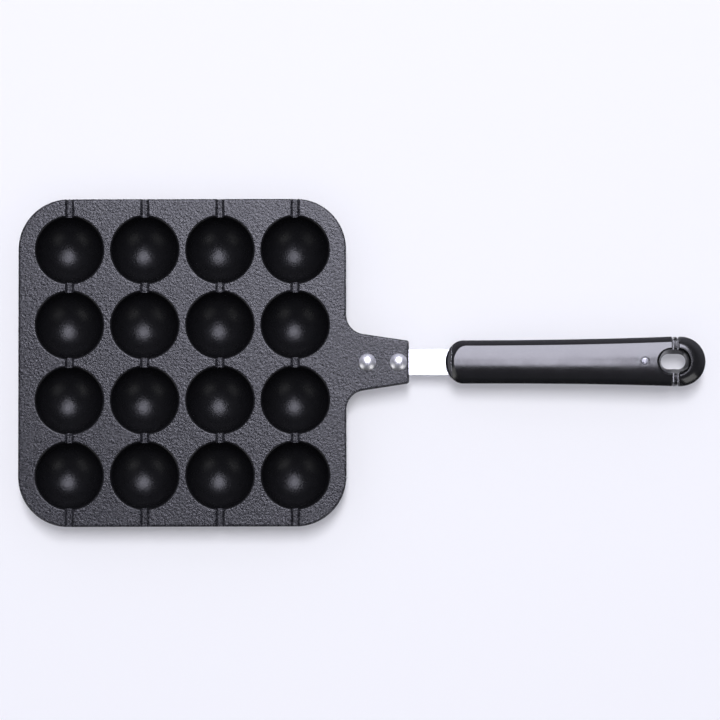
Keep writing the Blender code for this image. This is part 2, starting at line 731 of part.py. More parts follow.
def build_screw_cross(bm):
    """The cross recess in the screw's head."""
    half_length = SCREW_SLOT_LENGTH / 2
    half_width = SCREW_SLOT_WIDTH / 2
    levels = (SCREW_HEAD_TOP - SCREW_SLOT_DEPTH, SCREW_HEAD_TOP + OVERRUN)
    outline = (
        (half_length, -half_width), (half_length, half_width), (half_width, half_width),
        (half_width, half_length), (-half_width, half_length), (-half_width, half_width),
        (-half_length, half_width), (-half_length, -half_width), (-half_width, -half_width),
        (-half_width, -half_length), (half_width, -half_length), (half_width, -half_width),
    )
    loft(bm, [[(SCREW_X + x, y, height) for x, y in outline] for height in levels])


def make_screw(material, handle_axis):
    """The silver screw that fastens the grip to the tang."""
    screw = add_solid("grip_screw", build_screw)
    combine(screw, add_solid("screw_cross", build_screw_cross), "DIFFERENCE")
    return finish_solid(screw, material, handle_axis)


def build_nut(bm):
    """The hexagonal nut's outer shape."""
    outline = hexagon(NUT_ACROSS_FLATS, SCREW_X)
    loft(bm, [[(x, y, height) for x, y in outline] for height in (NUT_BOTTOM, NUT_TOP)])


def make_nut(material, handle_axis):
    """The nut in the pocket under the grip."""
    nut = add_solid("screw_nut", build_nut)
    combine(nut, add_solid("screw_hole", build_screw_hole), "DIFFERENCE")
    return finish_solid(nut, material, handle_axis)


def main():
    """Build the whole pan."""
    clear_scene()
    coated = make_material("nonstick_coating", (0.06, 0.06, 0.065), 0.5, 0.0)
    aluminium = make_material("rivet_aluminium", (0.8, 0.8, 0.82), 0.3, 1.0)
    strap_steel = make_material("strap_steel", (0.75, 0.75, 0.76), 0.25, 1.0)
    collar_black = make_material("collar_black", (0.02, 0.02, 0.022), 0.35, 0.0)
    grip_black = make_material("grip_black", (0.012, 0.012, 0.014), 0.2, 0.0)
    loop_black = make_material("loop_black", (0.015, 0.015, 0.018), 0.25, 0.0)
    screw_steel = make_material("screw_steel", (0.7, 0.7, 0.72), 0.3, 1.0)
    nut_steel = make_material("nut_steel", (0.6, 0.6, 0.62), 0.35, 1.0)

    pan_center = add_empty("pan_center", (PAN_CENTER_X, 0.0, 0.0))
    handle_axis = add_empty("handle_axis", (BEND_X, 0.0, STRAP_HEIGHT))
    handle_axis.rotation_euler = (0.0, -HANDLE_PITCH, 0.0)

    make_pan_body(coated, pan_center)
    make_rivet("inner_rivet", INNER_RIVET_X, aluminium, pan_center)
    make_rivet("outer_rivet", OUTER_RIVET_X, aluminium, pan_center)
    make_strap(strap_steel, pan_center, handle_axis)
    make_collar(collar_black, handle_axis)
    make_grip(grip_black, handle_axis)
    make_loop(loop_black, handle_axis)
    make_screw(screw_steel, handle_axis)
    make_nut(nut_steel, handle_axis)
    handle_axis.parent = pan_center
    bpy.context.view_layer.update()


main()
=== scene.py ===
"""Looks of the takoyaki pan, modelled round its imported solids.

Lengths are in metres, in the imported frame: +X runs along the handle, the channels run along Y
and +Z points up out of the wells. Each piece follows the solid that it replaces, and adds
finer rounds and the finish. The hang hole's wall stands further in than in the solids.
"""
import math

import bmesh
import bpy
from mathutils import Matrix, Vector


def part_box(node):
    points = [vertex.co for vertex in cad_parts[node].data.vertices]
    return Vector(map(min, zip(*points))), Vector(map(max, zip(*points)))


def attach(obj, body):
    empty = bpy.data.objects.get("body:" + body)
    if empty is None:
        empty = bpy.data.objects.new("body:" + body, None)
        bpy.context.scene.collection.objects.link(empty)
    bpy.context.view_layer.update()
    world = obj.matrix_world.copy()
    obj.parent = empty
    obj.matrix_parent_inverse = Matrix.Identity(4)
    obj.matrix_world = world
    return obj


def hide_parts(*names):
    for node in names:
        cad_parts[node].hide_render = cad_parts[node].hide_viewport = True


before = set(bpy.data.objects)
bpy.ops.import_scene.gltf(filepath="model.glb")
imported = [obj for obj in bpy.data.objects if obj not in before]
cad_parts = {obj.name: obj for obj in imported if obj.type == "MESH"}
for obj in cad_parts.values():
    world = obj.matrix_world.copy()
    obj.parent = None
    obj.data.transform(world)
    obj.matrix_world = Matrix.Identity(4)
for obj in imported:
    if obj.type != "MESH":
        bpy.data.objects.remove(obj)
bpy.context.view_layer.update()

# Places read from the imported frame
PAN_LOW, PAN_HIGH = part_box("pan_body")
PLATE_TOP = PAN_HIGH.z

# Wells
OVERRUN = 0.004
WELLS_PER_SIDE = 4
WELL_RADIUS = 0.0184
WELL_DEPTH = 0.017
WELL_RIM_ROUND = 0.0014
WELL_NECK = 0.0024
WELL_FLOOR_THICKNESS = 0.003
# The wells' darker coating, which is painted shade, reaches this far out onto the rim
WELL_FINISH_EDGE = 0.0193
CUP_WALL = 0.0026
CUP_FILLET = 0.0018
FOOT_RADIUS = 0.008
FOOT_EDGE_ROUND = 0.0008

# Plate
PLATE_BORDER = 0.0087
PLATE_CORNER_RADIUS = 0.028
PLATE_THICKNESS = 0.004
PLATE_EDGE_WIDTH = 0.0014
PLATE_EDGE_DEPTH = 0.0009

# Channels
CHANNEL_WIDTH = 0.0051
CHANNEL_FLOOR_WIDTH = 0.0026
CHANNEL_DEPTH = 0.002
CHANNEL_FLOOR_ROUND = 0.0004
CHANNEL_LIP_ROUND = 0.0005

# Tongue
TONGUE_LENGTH = 0.035
TONGUE_ROOT_WIDTH = 0.0343
TONGUE_END_WIDTH = 0.0243
TONGUE_FILLET_RADIUS = 0.011
TONGUE_END_ROUND = 0.0015
TONGUE_PAD_THICKNESS = 0.0015
TONGUE_PAD_INSET = 0.002
TONGUE_PAD_LENGTH = 0.037

# Rivets
RIVET_SPACING = 0.0174
RIVET_END_DISTANCE = 0.0059
RIVET_SHANK_RADIUS = 0.0024
RIVET_HEAD_RADIUS = 0.005
RIVET_HEAD_HEIGHT = 0.0025
RIVET_HEAD_LAND = 0.0003
RIVET_TAIL_RADIUS = 0.004
RIVET_TAIL_HEIGHT = 0.0018
HOLE_GAP = 0.0001

# Strap
STRAP_WIDTH = 0.015
STRAP_THICKNESS = 0.003
STRAP_OVERLAP = 0.030
STRAP_EDGE_ROUND = 0.0005
STRAP_BEND_DISTANCE = 0.0035
STRAP_BEND_REACH = 0.003
STRAP_SHOWN_LENGTH = 0.0207
TANG_END_DISTANCE = 0.006
HANDLE_PITCH = math.radians(1.5)
FIT_GAP = 0.0003

# Collar
COLLAR_LENGTH = 0.0029
COLLAR_WALL = 0.0012
COLLAR_SAG = 0.0006
COLLAR_TIP = 0.0003
COLLAR_HEIGHT = 0.0124
COLLAR_EDGE_ROUND = 0.0011

# Grip
GRIP_LENGTH = 0.123
GRIP_FRONT_WIDTH = 0.0242
GRIP_REAR_WIDTH = 0.0277
GRIP_THICKNESS = 0.017
GRIP_NOSE_LENGTH = 0.0098
GRIP_NOSE_UNDERCUT_SHARE = 0.8
GRIP_FACET_NOSE_DISTANCE = 0.0045
GRIP_FACET_NOSE_LENGTH = 0.0069
GRIP_FACET_INSET = 0.003
GRIP_FACET_EASE = 0.00003
GRIP_CROWN = 0.0011
GRIP_SLOPE_DROP = 0.0026
GRIP_SWELL_POWER = 2.5
GRIP_END_ROUND = 0.0005

# Hang hole and loop
HOLE_LENGTH = 0.0189
HOLE_WIDTH = 0.0155
WAIST_LENGTH = 0.0138
WAIST_WIDTH = 0.0085
HOLE_CHAMFER = 0.001
HOLE_RIM_DROP = 0.0004
HOLE_CENTER_DISTANCE = 0.0011
BEAD_LENGTH = 0.0017
BEAD_DROP = 0.0003
BEAD_RIBS = 2
BEAD_RIB_SHARE = 0.8
BEAD_ROUND = 0.0002
BEAD_SECTION_POWER = 3.5
NECK_LENGTH = 0.0009
NECK_DEPTH = 0.0014
NECK_ROUND = 0.0008
TENON_LENGTH = 0.0045
TENON_HEIGHT = 0.007
TENON_WALL = 0.0012
LOOP_THICKNESS = 0.0135
LOOP_END_OFFSET = 0.0039
LOOP_REACH = 0.0042
LOOP_CREST_SHARE = 0.08
LOOP_FALL = 0.0035
LOOP_FALL_POWER = 1.8
LOOP_RIM_ROUND = 0.0008
LOOP_END_ROUND = 0.0006

# Screw and nut
SCREW_END_DISTANCE = 0.0153
SCREW_HEAD_RADIUS = 0.002
SCREW_HEAD_HEIGHT = 0.001
SCREW_HEAD_DOME = 0.0003
SCREW_RECESS_MARGIN = 0.0006
SCREW_SUNK_DEPTH = 0.0005
SCREW_SHANK_RADIUS = 0.0011
SCREW_SLOT_WIDTH = 0.0008
SCREW_SLOT_LENGTH = 0.0028
SCREW_SLOT_DEPTH = 0.0008
NUT_ACROSS_FLATS = 0.005
NUT_THICKNESS = 0.0022
NUT_SUNK_DEPTH = 0.0008
NUT_CHAMFER = 0.0003

# Grain sizes and relief of the finishes
PEBBLE_SIZE = 0.0013
PEBBLE_RELIEF = 0.00036
SPECKLE_SIZE = 0.001
COATING_CLOUD = 0.012
WELL_GRAIN = 0.0009
WELL_RELIEF = 0.0003
WELL_TONE = 0.004
WELL_CLOUD = 0.006
OUTER_GRAIN = 0.0009
OUTER_RELIEF = 0.00015
OUTER_TONE = 0.005
FOOT_RING_PITCH = 0.0005
FOOT_RING_RELIEF = 0.00002
FOOT_RUB = 0.003
RIVET_DENT = 0.002
RIVET_RELIEF = 0.00006
RIVET_CLOUD = 0.0009
GRIND_LINE = 0.00025
GRIND_RELIEF = 0.000006
GRIND_CLOUD = 0.0008
PEEL_SIZE = 0.0018
PEEL_RELIEF = 0.00003
PLASTIC_TONE = 0.006
PLASTIC_CLOUD = 0.01
PLATING_GRAIN = 0.0004
PLATING_RELIEF = 0.00002
PLATING_TONE = 0.0008
CLOUD_SPAN = (0.3, 0.7)

# Faces this close to a round surface are part of it, and faces that look this far up are top
PAINT_TOLERANCE = 0.00015
TOP_FACING = 0.2

# Steps of the round shapes
ROUND_SEGMENTS = 72
RIM_STEPS = 6
BOWL_STEPS = 14
CUP_STEPS = 9
FILLET_STEPS = 5
CORNER_STEPS = 28
TONGUE_FILLET_STEPS = 18
EDGE_STEPS = 5
SMALL_SEGMENTS = 40
DOME_STEPS = 10
NOSE_STATIONS = 18
GRIP_STATIONS = 40
HOLE_STEPS = 28
LOOP_STATIONS = 56
LOOP_SECTION_STEPS = 12

# Sizes that follow
WELL_RIM_RADIUS = WELL_RADIUS + WELL_RIM_ROUND
WELL_PITCH = 2 * WELL_RIM_RADIUS + WELL_NECK
WELL_SPAN = (WELLS_PER_SIDE - 1) * WELL_PITCH
PLATE_HALF = WELL_SPAN / 2 + WELL_RIM_RADIUS + PLATE_BORDER
PLATE_BOTTOM = PLATE_TOP - PLATE_THICKNESS
PAN_CENTER_X = PAN_LOW.x + PLATE_HALF
WELL_CAP_HEIGHT = WELL_DEPTH - WELL_RIM_ROUND
WELL_SPHERE_RADIUS = (WELL_RADIUS ** 2 + WELL_CAP_HEIGHT ** 2) / (2 * WELL_CAP_HEIGHT)
WELL_SPHERE_HEIGHT = WELL_FLOOR_THICKNESS + WELL_SPHERE_RADIUS
TONGUE_END = PLATE_HALF + TONGUE_LENGTH
PAD_BOTTOM = PLATE_BOTTOM - TONGUE_PAD_THICKNESS
STRAP_TOP = PAD_BOTTOM - FIT_GAP
STRAP_HEIGHT = STRAP_TOP - STRAP_THICKNESS / 2
STRAP_BOTTOM = STRAP_TOP - STRAP_THICKNESS
BEND_X = TONGUE_END + STRAP_BEND_DISTANCE
NOSE_TIP = STRAP_SHOWN_LENGTH - STRAP_BEND_DISTANCE
COLLAR_HALF = STRAP_WIDTH / 2 + FIT_GAP + COLLAR_WALL
GRIP_START = NOSE_TIP + COLLAR_LENGTH + FIT_GAP
GRIP_END = GRIP_START + GRIP_LENGTH
GRIP_FACET_TIP = NOSE_TIP + GRIP_FACET_NOSE_DISTANCE
GRIP_TOP = GRIP_THICKNESS / 2
GRIP_WIDEST_HEIGHT = GRIP_TOP - GRIP_CROWN - GRIP_SLOPE_DROP
HOLE_CENTER = GRIP_END + HOLE_CENTER_DISTANCE
HOLE_RADIUS = HOLE_WIDTH / 2
HOLE_SLOT_HALF = (HOLE_LENGTH - HOLE_WIDTH) / 2
GRIP_REAR_HALF = GRIP_REAR_WIDTH / 2
ARM_WIDTH = GRIP_REAR_HALF - HOLE_RADIUS
ARM_CENTER = HOLE_RADIUS + ARM_WIDTH / 2
TENON_WIDTH = ARM_WIDTH - 2 * (TENON_WALL + FIT_GAP)
BEAD_END = HOLE_CENTER + BEAD_LENGTH
LOOP_START = BEAD_END + NECK_LENGTH
LOOP_OUTER_CENTER = HOLE_CENTER + LOOP_END_OFFSET
LOOP_INNER_CENTER = HOLE_CENTER + HOLE_SLOT_HALF
SCREW_X = GRIP_END - SCREW_END_DISTANCE
TANG_END = SCREW_X + TANG_END_DISTANCE
SCREW_HEAD_TOP = GRIP_TOP - SCREW_SUNK_DEPTH
SCREW_HEAD_BASE = SCREW_HEAD_TOP - SCREW_HEAD_HEIGHT
NUT_BOTTOM = NUT_SUNK_DEPTH - GRIP_THICKNESS / 2
NUT_TOP = NUT_BOTTOM + NUT_THICKNESS
OUTER_RIVET_X = TONGUE_END - RIVET_END_DISTANCE
INNER_RIVET_X = OUTER_RIVET_X - RIVET_SPACING

# Shares of the grip's section: across its slope and down it, then across and down its underside
SLOPE_SHARES = ((0.5, 0.35), (0.85, 0.7), (1.0, 1.0))
UNDERSIDE_SHARES = ((0.985, 0.35), (0.9, 0.72), (0.7, 0.94), (0.42, 1.0), (0.12, 1.0))
CROWN_ROW_SHARES = (0.1, 0.3, 0.5, 0.7, 0.85, 0.97)
END_ROUND_SHARES = (0.6, 0.3, 0.1, 0.0)
LOOP_END_SHARES = (0.0, 0.1, 0.3, 0.6, 1.0)
SCREW_SLOT_SHARES = (0.6, 1.4)

# The pan and the handle each have their own origin
PAN_PLACE = Matrix.Translation((PAN_CENTER_X, 0.0, 0.0))
HANDLE_PLACE = (Matrix.Translation((PAN_CENTER_X + BEND_X, 0.0, STRAP_HEIGHT))
                @ Matrix.Rotation(-HANDLE_PITCH, 4, "Y"))


# Mesh helpers

def add_piece(name, build, place):
    """A new mesh object made by build(bm), at a place, with its faces pointing out."""
    bm = bmesh.new()
    build(bm)
    bmesh.ops.recalc_face_normals(bm, faces=bm.faces[:])
    mesh = bpy.data.meshes.new(name)
    bm.to_mesh(mesh)
    bm.free()
    piece = bpy.data.objects.new(name, mesh)
    bpy.context.scene.collection.objects.link(piece)
    piece.matrix_world = place
    return piece


def skin(bm, rings):
    """Join rings of equally many points by faces, and return their vertices."""
    loops = [[bm.verts.new(point) for point in ring] for ring in rings]
    count = len(loops[0])
    for lower, upper in zip(loops, loops[1:]):
        for index in range(count):
            following = (index + 1) % count
            bm.faces.new((lower[index], lower[following], upper[following], upper[index]))
    return loops


def loft(bm, rings):
    """Close a solid through rings of equally many points, with a cap at each end."""
    loops = skin(bm, rings)
    bm.faces.new(loops[0])
    bm.faces.new(loops[-1])


def turn(bm, profile, segments, center=(0.0, 0.0)):
    """Turn a profile of (radius, height) points, which starts and ends on the axis."""
    first = bm.verts.new((center[0], center[1], profile[0][1]))
    last = bm.verts.new((center[0], center[1], profile[-1][1]))
    rings = []
    for radius, height in profile[1:-1]:
        rings.append([(center[0] + radius * math.cos(2 * math.pi * index / segments),
                       center[1] + radius * math.sin(2 * math.pi * index / segments), height)
                      for index in range(segments)])
    loops = skin(bm, rings)
    for index in range(segments):
        following = (index + 1) % segments
        bm.faces.new((first, loops[0][index], loops[0][following]))
        bm.faces.new((last, loops[-1][following], loops[-1][index]))


def arc(center, radius, start, end, steps):
    """Points along an arc, from one angle to another, in degrees."""
    points = []
    for index in range(steps + 1):
        angle = math.radians(start + (end - start) * index / steps)
        points.append((center[0] + radius * math.cos(angle),
                       center[1] + radius * math.sin(angle)))
    return points


def fillet(before, corner, after, radius, steps):
    """Arc points that round the corner between two straight lines."""
    before, corner, after = Vector(before), Vector(corner), Vector(after)
    back, ahead = (before - corner).normalized(), (after - corner).normalized()
    half = back.angle(ahead) / 2
    center = corner + (back + ahead).normalized() * radius / math.sin(half)
    first = corner + back * radius / math.tan(half) - center
    final = corner + ahead * radius / math.tan(half) - center
    start = math.degrees(math.atan2(first.y, first.x))
    sweep = math.degrees(math.atan2(final.y, final.x)) - start
    sweep = (sweep + 180) % 360 - 180
    return arc(center, radius, start, start + sweep, steps)


def rounded(corners, radius, steps):
    """A closed outline with every corner rounded alike."""
    points = []
    for index, corner in enumerate(corners):
        following = corners[(index + 1) % len(corners)]
        points += fillet(corners[index - 1], corner, following, radius, steps)
    return points


def rectangle(low, high):
    """The corners of an upright rectangle."""
    return (low, (high[0], low[1]), high, (low[0], high[1]))


def edge_levels(low, high, width, depth, steps):
    """Heights and insets of a slab whose lower and upper edges are rounded."""
    lower = []
    for index in range(steps + 1):
        angle = math.pi / 2 * index / steps
        lower.append((low + depth * (1 - math.cos(angle)), width * (1 - math.sin(angle))))
    return lower + [(low + high - height, inset) for height, inset in reversed(lower)]


def smooth_path(points, steps):
    """A smooth curve through points, with the same number of steps in each stretch."""
    path = [Vector(point) for point in points]
    padded = [2 * path[0] - path[1]] + path + [2 * path[-1] - path[-2]]
    curve = []
    for index in range(len(path) - 1):
        a, b, c, d = padded[index:index + 4]
        for step in range(steps):
            t = step / steps
            curve.append((2 * b + (c - a) * t + (2 * a - 5 * b + 4 * c - d) * t ** 2
                          + (3 * b - a - 3 * c + d) * t ** 3) / 2)
    curve.append(path[-1])
    return curve


def drawn_in(distance, radius):
    """How far a rounded end draws in at a distance from its face."""
    left = min(1.0, max(0.0, 1 - distance / radius))
    return radius * (1 - math.sqrt(1 - left ** 2))


def combine(target, tools, operation):
    """Join the tools to a piece or cut them from it, and remove them."""
    folder = bpy.data.collections.new("tools")
    bpy.context.scene.collection.children.link(folder)
    for tool in tools:
        folder.objects.link(tool)
    modifier = target.modifiers.new(operation.title(), "BOOLEAN")
    modifier.operation = operation
    modifier.solver = "EXACT"
    modifier.operand_type = "COLLECTION"
    modifier.collection = folder
    bpy.context.view_layer.update()
    evaluated = target.evaluated_get(bpy.context.evaluated_depsgraph_get())
    mesh = bpy.data.meshes.new_from_object(evaluated)
    mesh.name = target.name
    target.modifiers.clear()
    target.data = mesh
    for tool in tools:
        bpy.data.objects.remove(tool, do_unlink=True)
    bpy.data.collections.remove(folder)


def finish_piece(piece, materials, nodes, sharp_degrees=35.0):
    """Shade a finished piece, give it its materials and let it stand for its solid."""
    piece.data.materials.clear()
    for material in materials:
        piece.data.materials.append(material)
    piece.data.shade_smooth()
    piece.data.set_sharp_from_angle(angle=math.radians(sharp_degrees))
    weighting = piece.modifiers.new("Weighting", "WEIGHTED_NORMAL")
    weighting.keep_sharp = True
    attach(piece, "root")
    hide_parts(*nodes)
    return piece


# Material helpers

def add_node(tree, kind, inputs=None, **settings):
    """A node with its settings, and its inputs set to values or linked to sockets."""
    made = tree.nodes.new(kind)
    for name, value in settings.items():
        setattr(made, name, value)
    for name, value in (inputs or {}).items():
        socket = made.inputs[name]
        if isinstance(value, bpy.types.NodeSocket):
            tree.links.new(value, socket)
        else:
            socket.default_value = value
    return made


def math_node(tree, operation, first, second=0.0):
    """The result socket of one sum, product or the like."""
    return add_node(tree, "ShaderNodeMath", {0: first, 1: second}, operation=operation).outputs[0]


def map_range(tree, value, from_low, from_high, to_low, to_high):
    """The result socket of a clamped range."""
    inputs = {"Value": value, "From Min": from_low, "From Max": from_high,
              "To Min": to_low, "To Max": to_high}
    return add_node(tree, "ShaderNodeMapRange", inputs).outputs["Result"]


def mix_color(tree, share, first, second):
    """The result socket of two colours mixed by a share."""
    made = add_node(tree, "ShaderNodeMix", data_type="RGBA")
    tree.links.new(share, made.inputs["Factor"])
    for name, value in (("A", first), ("B", second)):
        sockets = [item for item in made.inputs if item.name == name and item.type == "RGBA"]
        if isinstance(value, bpy.types.NodeSocket):
            tree.links.new(value, sockets[0])
        else:
            sockets[0].default_value = (*value, 1.0)
    return [item for item in made.outputs if item.type == "RGBA"][0]


def noise(tree, place, grain_size, detail=2.0, roughness=0.5):
    """Noise whose blotches are about as large as the grain size."""
    inputs = {"Vector": place, "Scale": 1 / grain_size, "Detail": detail,
              "Roughness": roughness}
    return add_node(tree, "ShaderNodeTexNoise", inputs).outputs["Fac"]


def start_material(name, roughness, metallic=0.0, ior=1.5):
    """A material with its tree, shader and object coordinates."""
    material = bpy.data.materials.new(name)
    material.use_nodes = True
    tree = material.node_tree
    shader = tree.nodes["Principled BSDF"]
    shader.inputs["Roughness"].default_value = roughness
    shader.inputs["Metallic"].default_value = metallic
    shader.inputs["IOR"].default_value = ior
    place = add_node(tree, "ShaderNodeTexCoord").outputs["Object"]
    return material, tree, shader, place


def add_bump(tree, shader, height, distance, strength=1.0):
    """Fine relief of a given depth on a shader."""
    inputs = {"Height": height, "Distance": distance, "Strength": strength}
    made = add_node(tree, "ShaderNodeBump", inputs)
    tree.links.new(made.outputs["Normal"], shader.inputs["Normal"])


# Materials

def set_color(tree, shader, share, dark, light):
    """Base colour that runs from a dark tone to a light one with a share."""
    tree.links.new(mix_color(tree, share, dark, light), shader.inputs["Base Color"])


def set_roughness(tree, shader, cloud, low, high):
    """Roughness that wanders between two values with a cloud of noise."""
    tree.links.new(map_range(tree, cloud, *CLOUD_SPAN, low, high), shader.inputs["Roughness"])


def make_speckled_coating():
    """Non-stick coating on the plate's top: a fine pebbled grain with light speckles."""
    material, tree, shader, place = start_material("speckled_coating", 0.26, ior=1.46)
    add_bump(tree, shader, noise(tree, place, PEBBLE_SIZE, 2.5, 0.65), PEBBLE_RELIEF, 0.9)
    speckle = map_range(tree, noise(tree, place, SPECKLE_SIZE, 2.0, 0.7), 0.45, 0.66, 0.0, 1.0)
    set_color(tree, shader, speckle, (0.007, 0.007, 0.010), (0.066, 0.066, 0.080))
    # Painted shade: the coating reflects less down on the channel floors than on the plate's top.
    height = add_node(tree, "ShaderNodeSeparateXYZ", {"Vector": place}).outputs["Z"]
    level = map_range(tree, height, PLATE_TOP - CHANNEL_DEPTH, PLATE_TOP - CHANNEL_DEPTH / 2,
                      0.36, 0.5)
    tree.links.new(level, shader.inputs["Specular IOR Level"])
    set_roughness(tree, shader, noise(tree, place, COATING_CLOUD, 3.0), 0.23, 0.29)
    return material


def make_well_coating_with_painted_shade():
    """The smoother coating inside the wells, made blacker and less reflective than the plate's as
    painted shade in the hollows.
    """
    material, tree, shader, place = start_material("well_coating", 0.28, ior=1.34)
    add_bump(tree, shader, noise(tree, place, WELL_GRAIN, 2.0, 0.6), WELL_RELIEF, 0.5)
    # Painted shade: the wells' base colour is kept darker than the plate's top.
    set_color(tree, shader, noise(tree, place, WELL_TONE), (0.0035, 0.0035, 0.0045),
              (0.006, 0.006, 0.0075))
    set_roughness(tree, shader, noise(tree, place, WELL_CLOUD, 3.0), 0.25, 0.31)
    return material


def make_outer_coating():
    """The black coating on the plate's edge and under the pan."""
    material, tree, shader, place = start_material("outer_coating", 0.42, ior=1.4)
    add_bump(tree, shader, noise(tree, place, OUTER_GRAIN, 3.0, 0.6), OUTER_RELIEF, 0.6)
    set_color(tree, shader, noise(tree, place, OUTER_TONE, 3.0), (0.007, 0.007, 0.008),
              (0.014, 0.014, 0.016))
    return material


def make_foot_finish():
    """The feet, turned flat before coating: rings of tool marks with rubbed spots."""
    material, tree, shader, place = start_material("foot_finish", 0.4)
    separate = add_node(tree, "ShaderNodeSeparateXYZ", {"Vector": place})
    squares = []
    for axis in ("X", "Y"):
        cell = math_node(tree, "FLOORED_MODULO", separate.outputs[axis], WELL_PITCH)
        offset = math_node(tree, "SUBTRACT", cell, WELL_PITCH / 2)
        squares.append(math_node(tree, "MULTIPLY", offset, offset))
    radius = math_node(tree, "SQRT", math_node(tree, "ADD", squares[0], squares[1]))
    turns = math_node(tree, "MULTIPLY", radius, 2 * math.pi / FOOT_RING_PITCH)
    add_bump(tree, shader, math_node(tree, "SINE", turns), FOOT_RING_RELIEF, 0.6)
    rub = map_range(tree, noise(tree, place, FOOT_RUB, 4.0, 0.7), 0.5, 0.75, 0.0, 1.0)
    set_color(tree, shader, rub, (0.02, 0.02, 0.023), (0.16, 0.16, 0.17))
    tree.links.new(math_node(tree, "MULTIPLY", rub, 0.7), shader.inputs["Metallic"])
    return material


def make_rivet_aluminium():
    """Bare aluminium with faint marks from setting the rivet."""
    material, tree, shader, place = start_material("bare_aluminium", 0.36, metallic=1.0)
    add_bump(tree, shader, noise(tree, place, RIVET_DENT, 2.0, 0.5), RIVET_RELIEF, 0.5)
    set_color(tree, shader, noise(tree, place, RIVET_DENT, 3.0), (0.80, 0.80, 0.82),
              (0.90, 0.90, 0.92))
    set_roughness(tree, shader, noise(tree, place, RIVET_CLOUD, 3.0), 0.32, 0.40)
    return material


def make_strap_steel():
    """Polished flat bar with fine grinding lines along its length."""
    material, tree, shader, place = start_material("polished_bar", 0.22, metallic=1.0)
    stretched = add_node(tree, "ShaderNodeVectorMath", {0: place, 1: (0.02, 1.0, 1.0)},
                         operation="MULTIPLY").outputs[0]
    lines = noise(tree, stretched, GRIND_LINE, 3.0, 0.6)
    add_bump(tree, shader, lines, GRIND_RELIEF, 0.6)
    set_color(tree, shader, lines, (0.74, 0.74, 0.75), (0.84, 0.84, 0.85))
    set_roughness(tree, shader, noise(tree, stretched, GRIND_CLOUD, 3.0), 0.2, 0.3)
    return material


def make_moulding(name, roughness, dark, light, ior=1.5):
    """Black moulded plastic with a faint orange peel."""
    material, tree, shader, place = start_material(name, roughness, ior=ior)
    add_bump(tree, shader, noise(tree, place, PEEL_SIZE, 2.0, 0.5), PEEL_RELIEF, 0.5)
    set_color(tree, shader, noise(tree, place, PLASTIC_TONE, 3.0), dark, light)
    set_roughness(tree, shader, noise(tree, place, PLASTIC_CLOUD, 4.0, 0.6),
                  roughness - 0.03, roughness + 0.03)
    return material


def make_plated_steel(name, dark, light):
    """Plated steel of the small fasteners."""
    material, tree, shader, place = start_material(name, 0.4, metallic=1.0)
    add_bump(tree, shader, noise(tree, place, PLATING_GRAIN, 2.0), PLATING_RELIEF, 0.5)
    set_color(tree, shader, noise(tree, place, PLATING_TONE, 3.0), dark, light)
    return material


# Pan

def well_centers():
    """The plan positions of all wells."""
    places = [index * WELL_PITCH - WELL_SPAN / 2 for index in range(WELLS_PER_SIDE)]
    return [(x, y) for x in places for y in places]


def plate_outline(inset):
    """The plate and its tongue in plan, moved inwards by an inset."""
    corner = PLATE_HALF - PLATE_CORNER_RADIUS
    corner_radius = PLATE_CORNER_RADIUS - inset
    taper = math.atan2((TONGUE_ROOT_WIDTH - TONGUE_END_WIDTH) / 2, TONGUE_LENGTH)
    taper_angle = math.degrees(taper)
    line_y = TONGUE_ROOT_WIDTH / 2 - TONGUE_FILLET_RADIUS * math.tan(taper)
    fillet_center = (PLATE_HALF + TONGUE_FILLET_RADIUS,
                     line_y + TONGUE_FILLET_RADIUS / math.cos(taper))
    end_center = (TONGUE_END - TONGUE_END_ROUND, TONGUE_END_WIDTH / 2 - TONGUE_END_ROUND)
    right_side = arc(end_center, TONGUE_END_ROUND - inset, 0, 90 - taper_angle, EDGE_STEPS)
    right_side += arc(fillet_center, TONGUE_FILLET_RADIUS + inset, 270 - taper_angle, 180,
                      TONGUE_FILLET_STEPS)
    points = [(x, -y) for x, y in reversed(right_side)] + right_side
    for quarter, (across, along) in enumerate(((1, 1), (-1, 1), (-1, -1), (1, -1))):
        center = (across * corner, along * corner)
        points += arc(center, corner_radius, 90 * quarter, 90 * quarter + 90, CORNER_STEPS)
    return points


def build_plate(bm):
    """The flat plate with its tongue, with rounded edges."""
    levels = edge_levels(PLATE_BOTTOM, PLATE_TOP, PLATE_EDGE_WIDTH, PLATE_EDGE_DEPTH,
                         EDGE_STEPS + 1)
    loft(bm, [[(x, y, height) for x, y in plate_outline(inset)] for height, inset in levels])


def build_tongue_pad(bm):
    """The thickened underside of the tongue."""
    start = TONGUE_END - TONGUE_PAD_INSET - TONGUE_PAD_LENGTH
    end = TONGUE_END - TONGUE_PAD_INSET
    half_start = TONGUE_END_WIDTH / 2
    half_end = half_start - TONGUE_PAD_INSET
    corners = ((start, -half_start), (end, -half_end), (end, half_end), (start, half_start))
    top = PLATE_BOTTOM + PLATE_THICKNESS / 2
    outline = rounded(corners, TONGUE_PAD_INSET, EDGE_STEPS)
    loft(bm, [[(x, y, height) for x, y in outline] for height in (PAD_BOTTOM, top)])


def sphere_arc(radius, start_angle, end_angle, steps):
    """Points (radius, height) on the wells' sphere, at angles from straight down."""
    points = []
    for index in range(steps + 1):
        angle = start_angle + (end_angle - start_angle) * index / steps
        points.append((radius * math.sin(angle), WELL_SPHERE_HEIGHT - radius * math.cos(angle)))
    return points


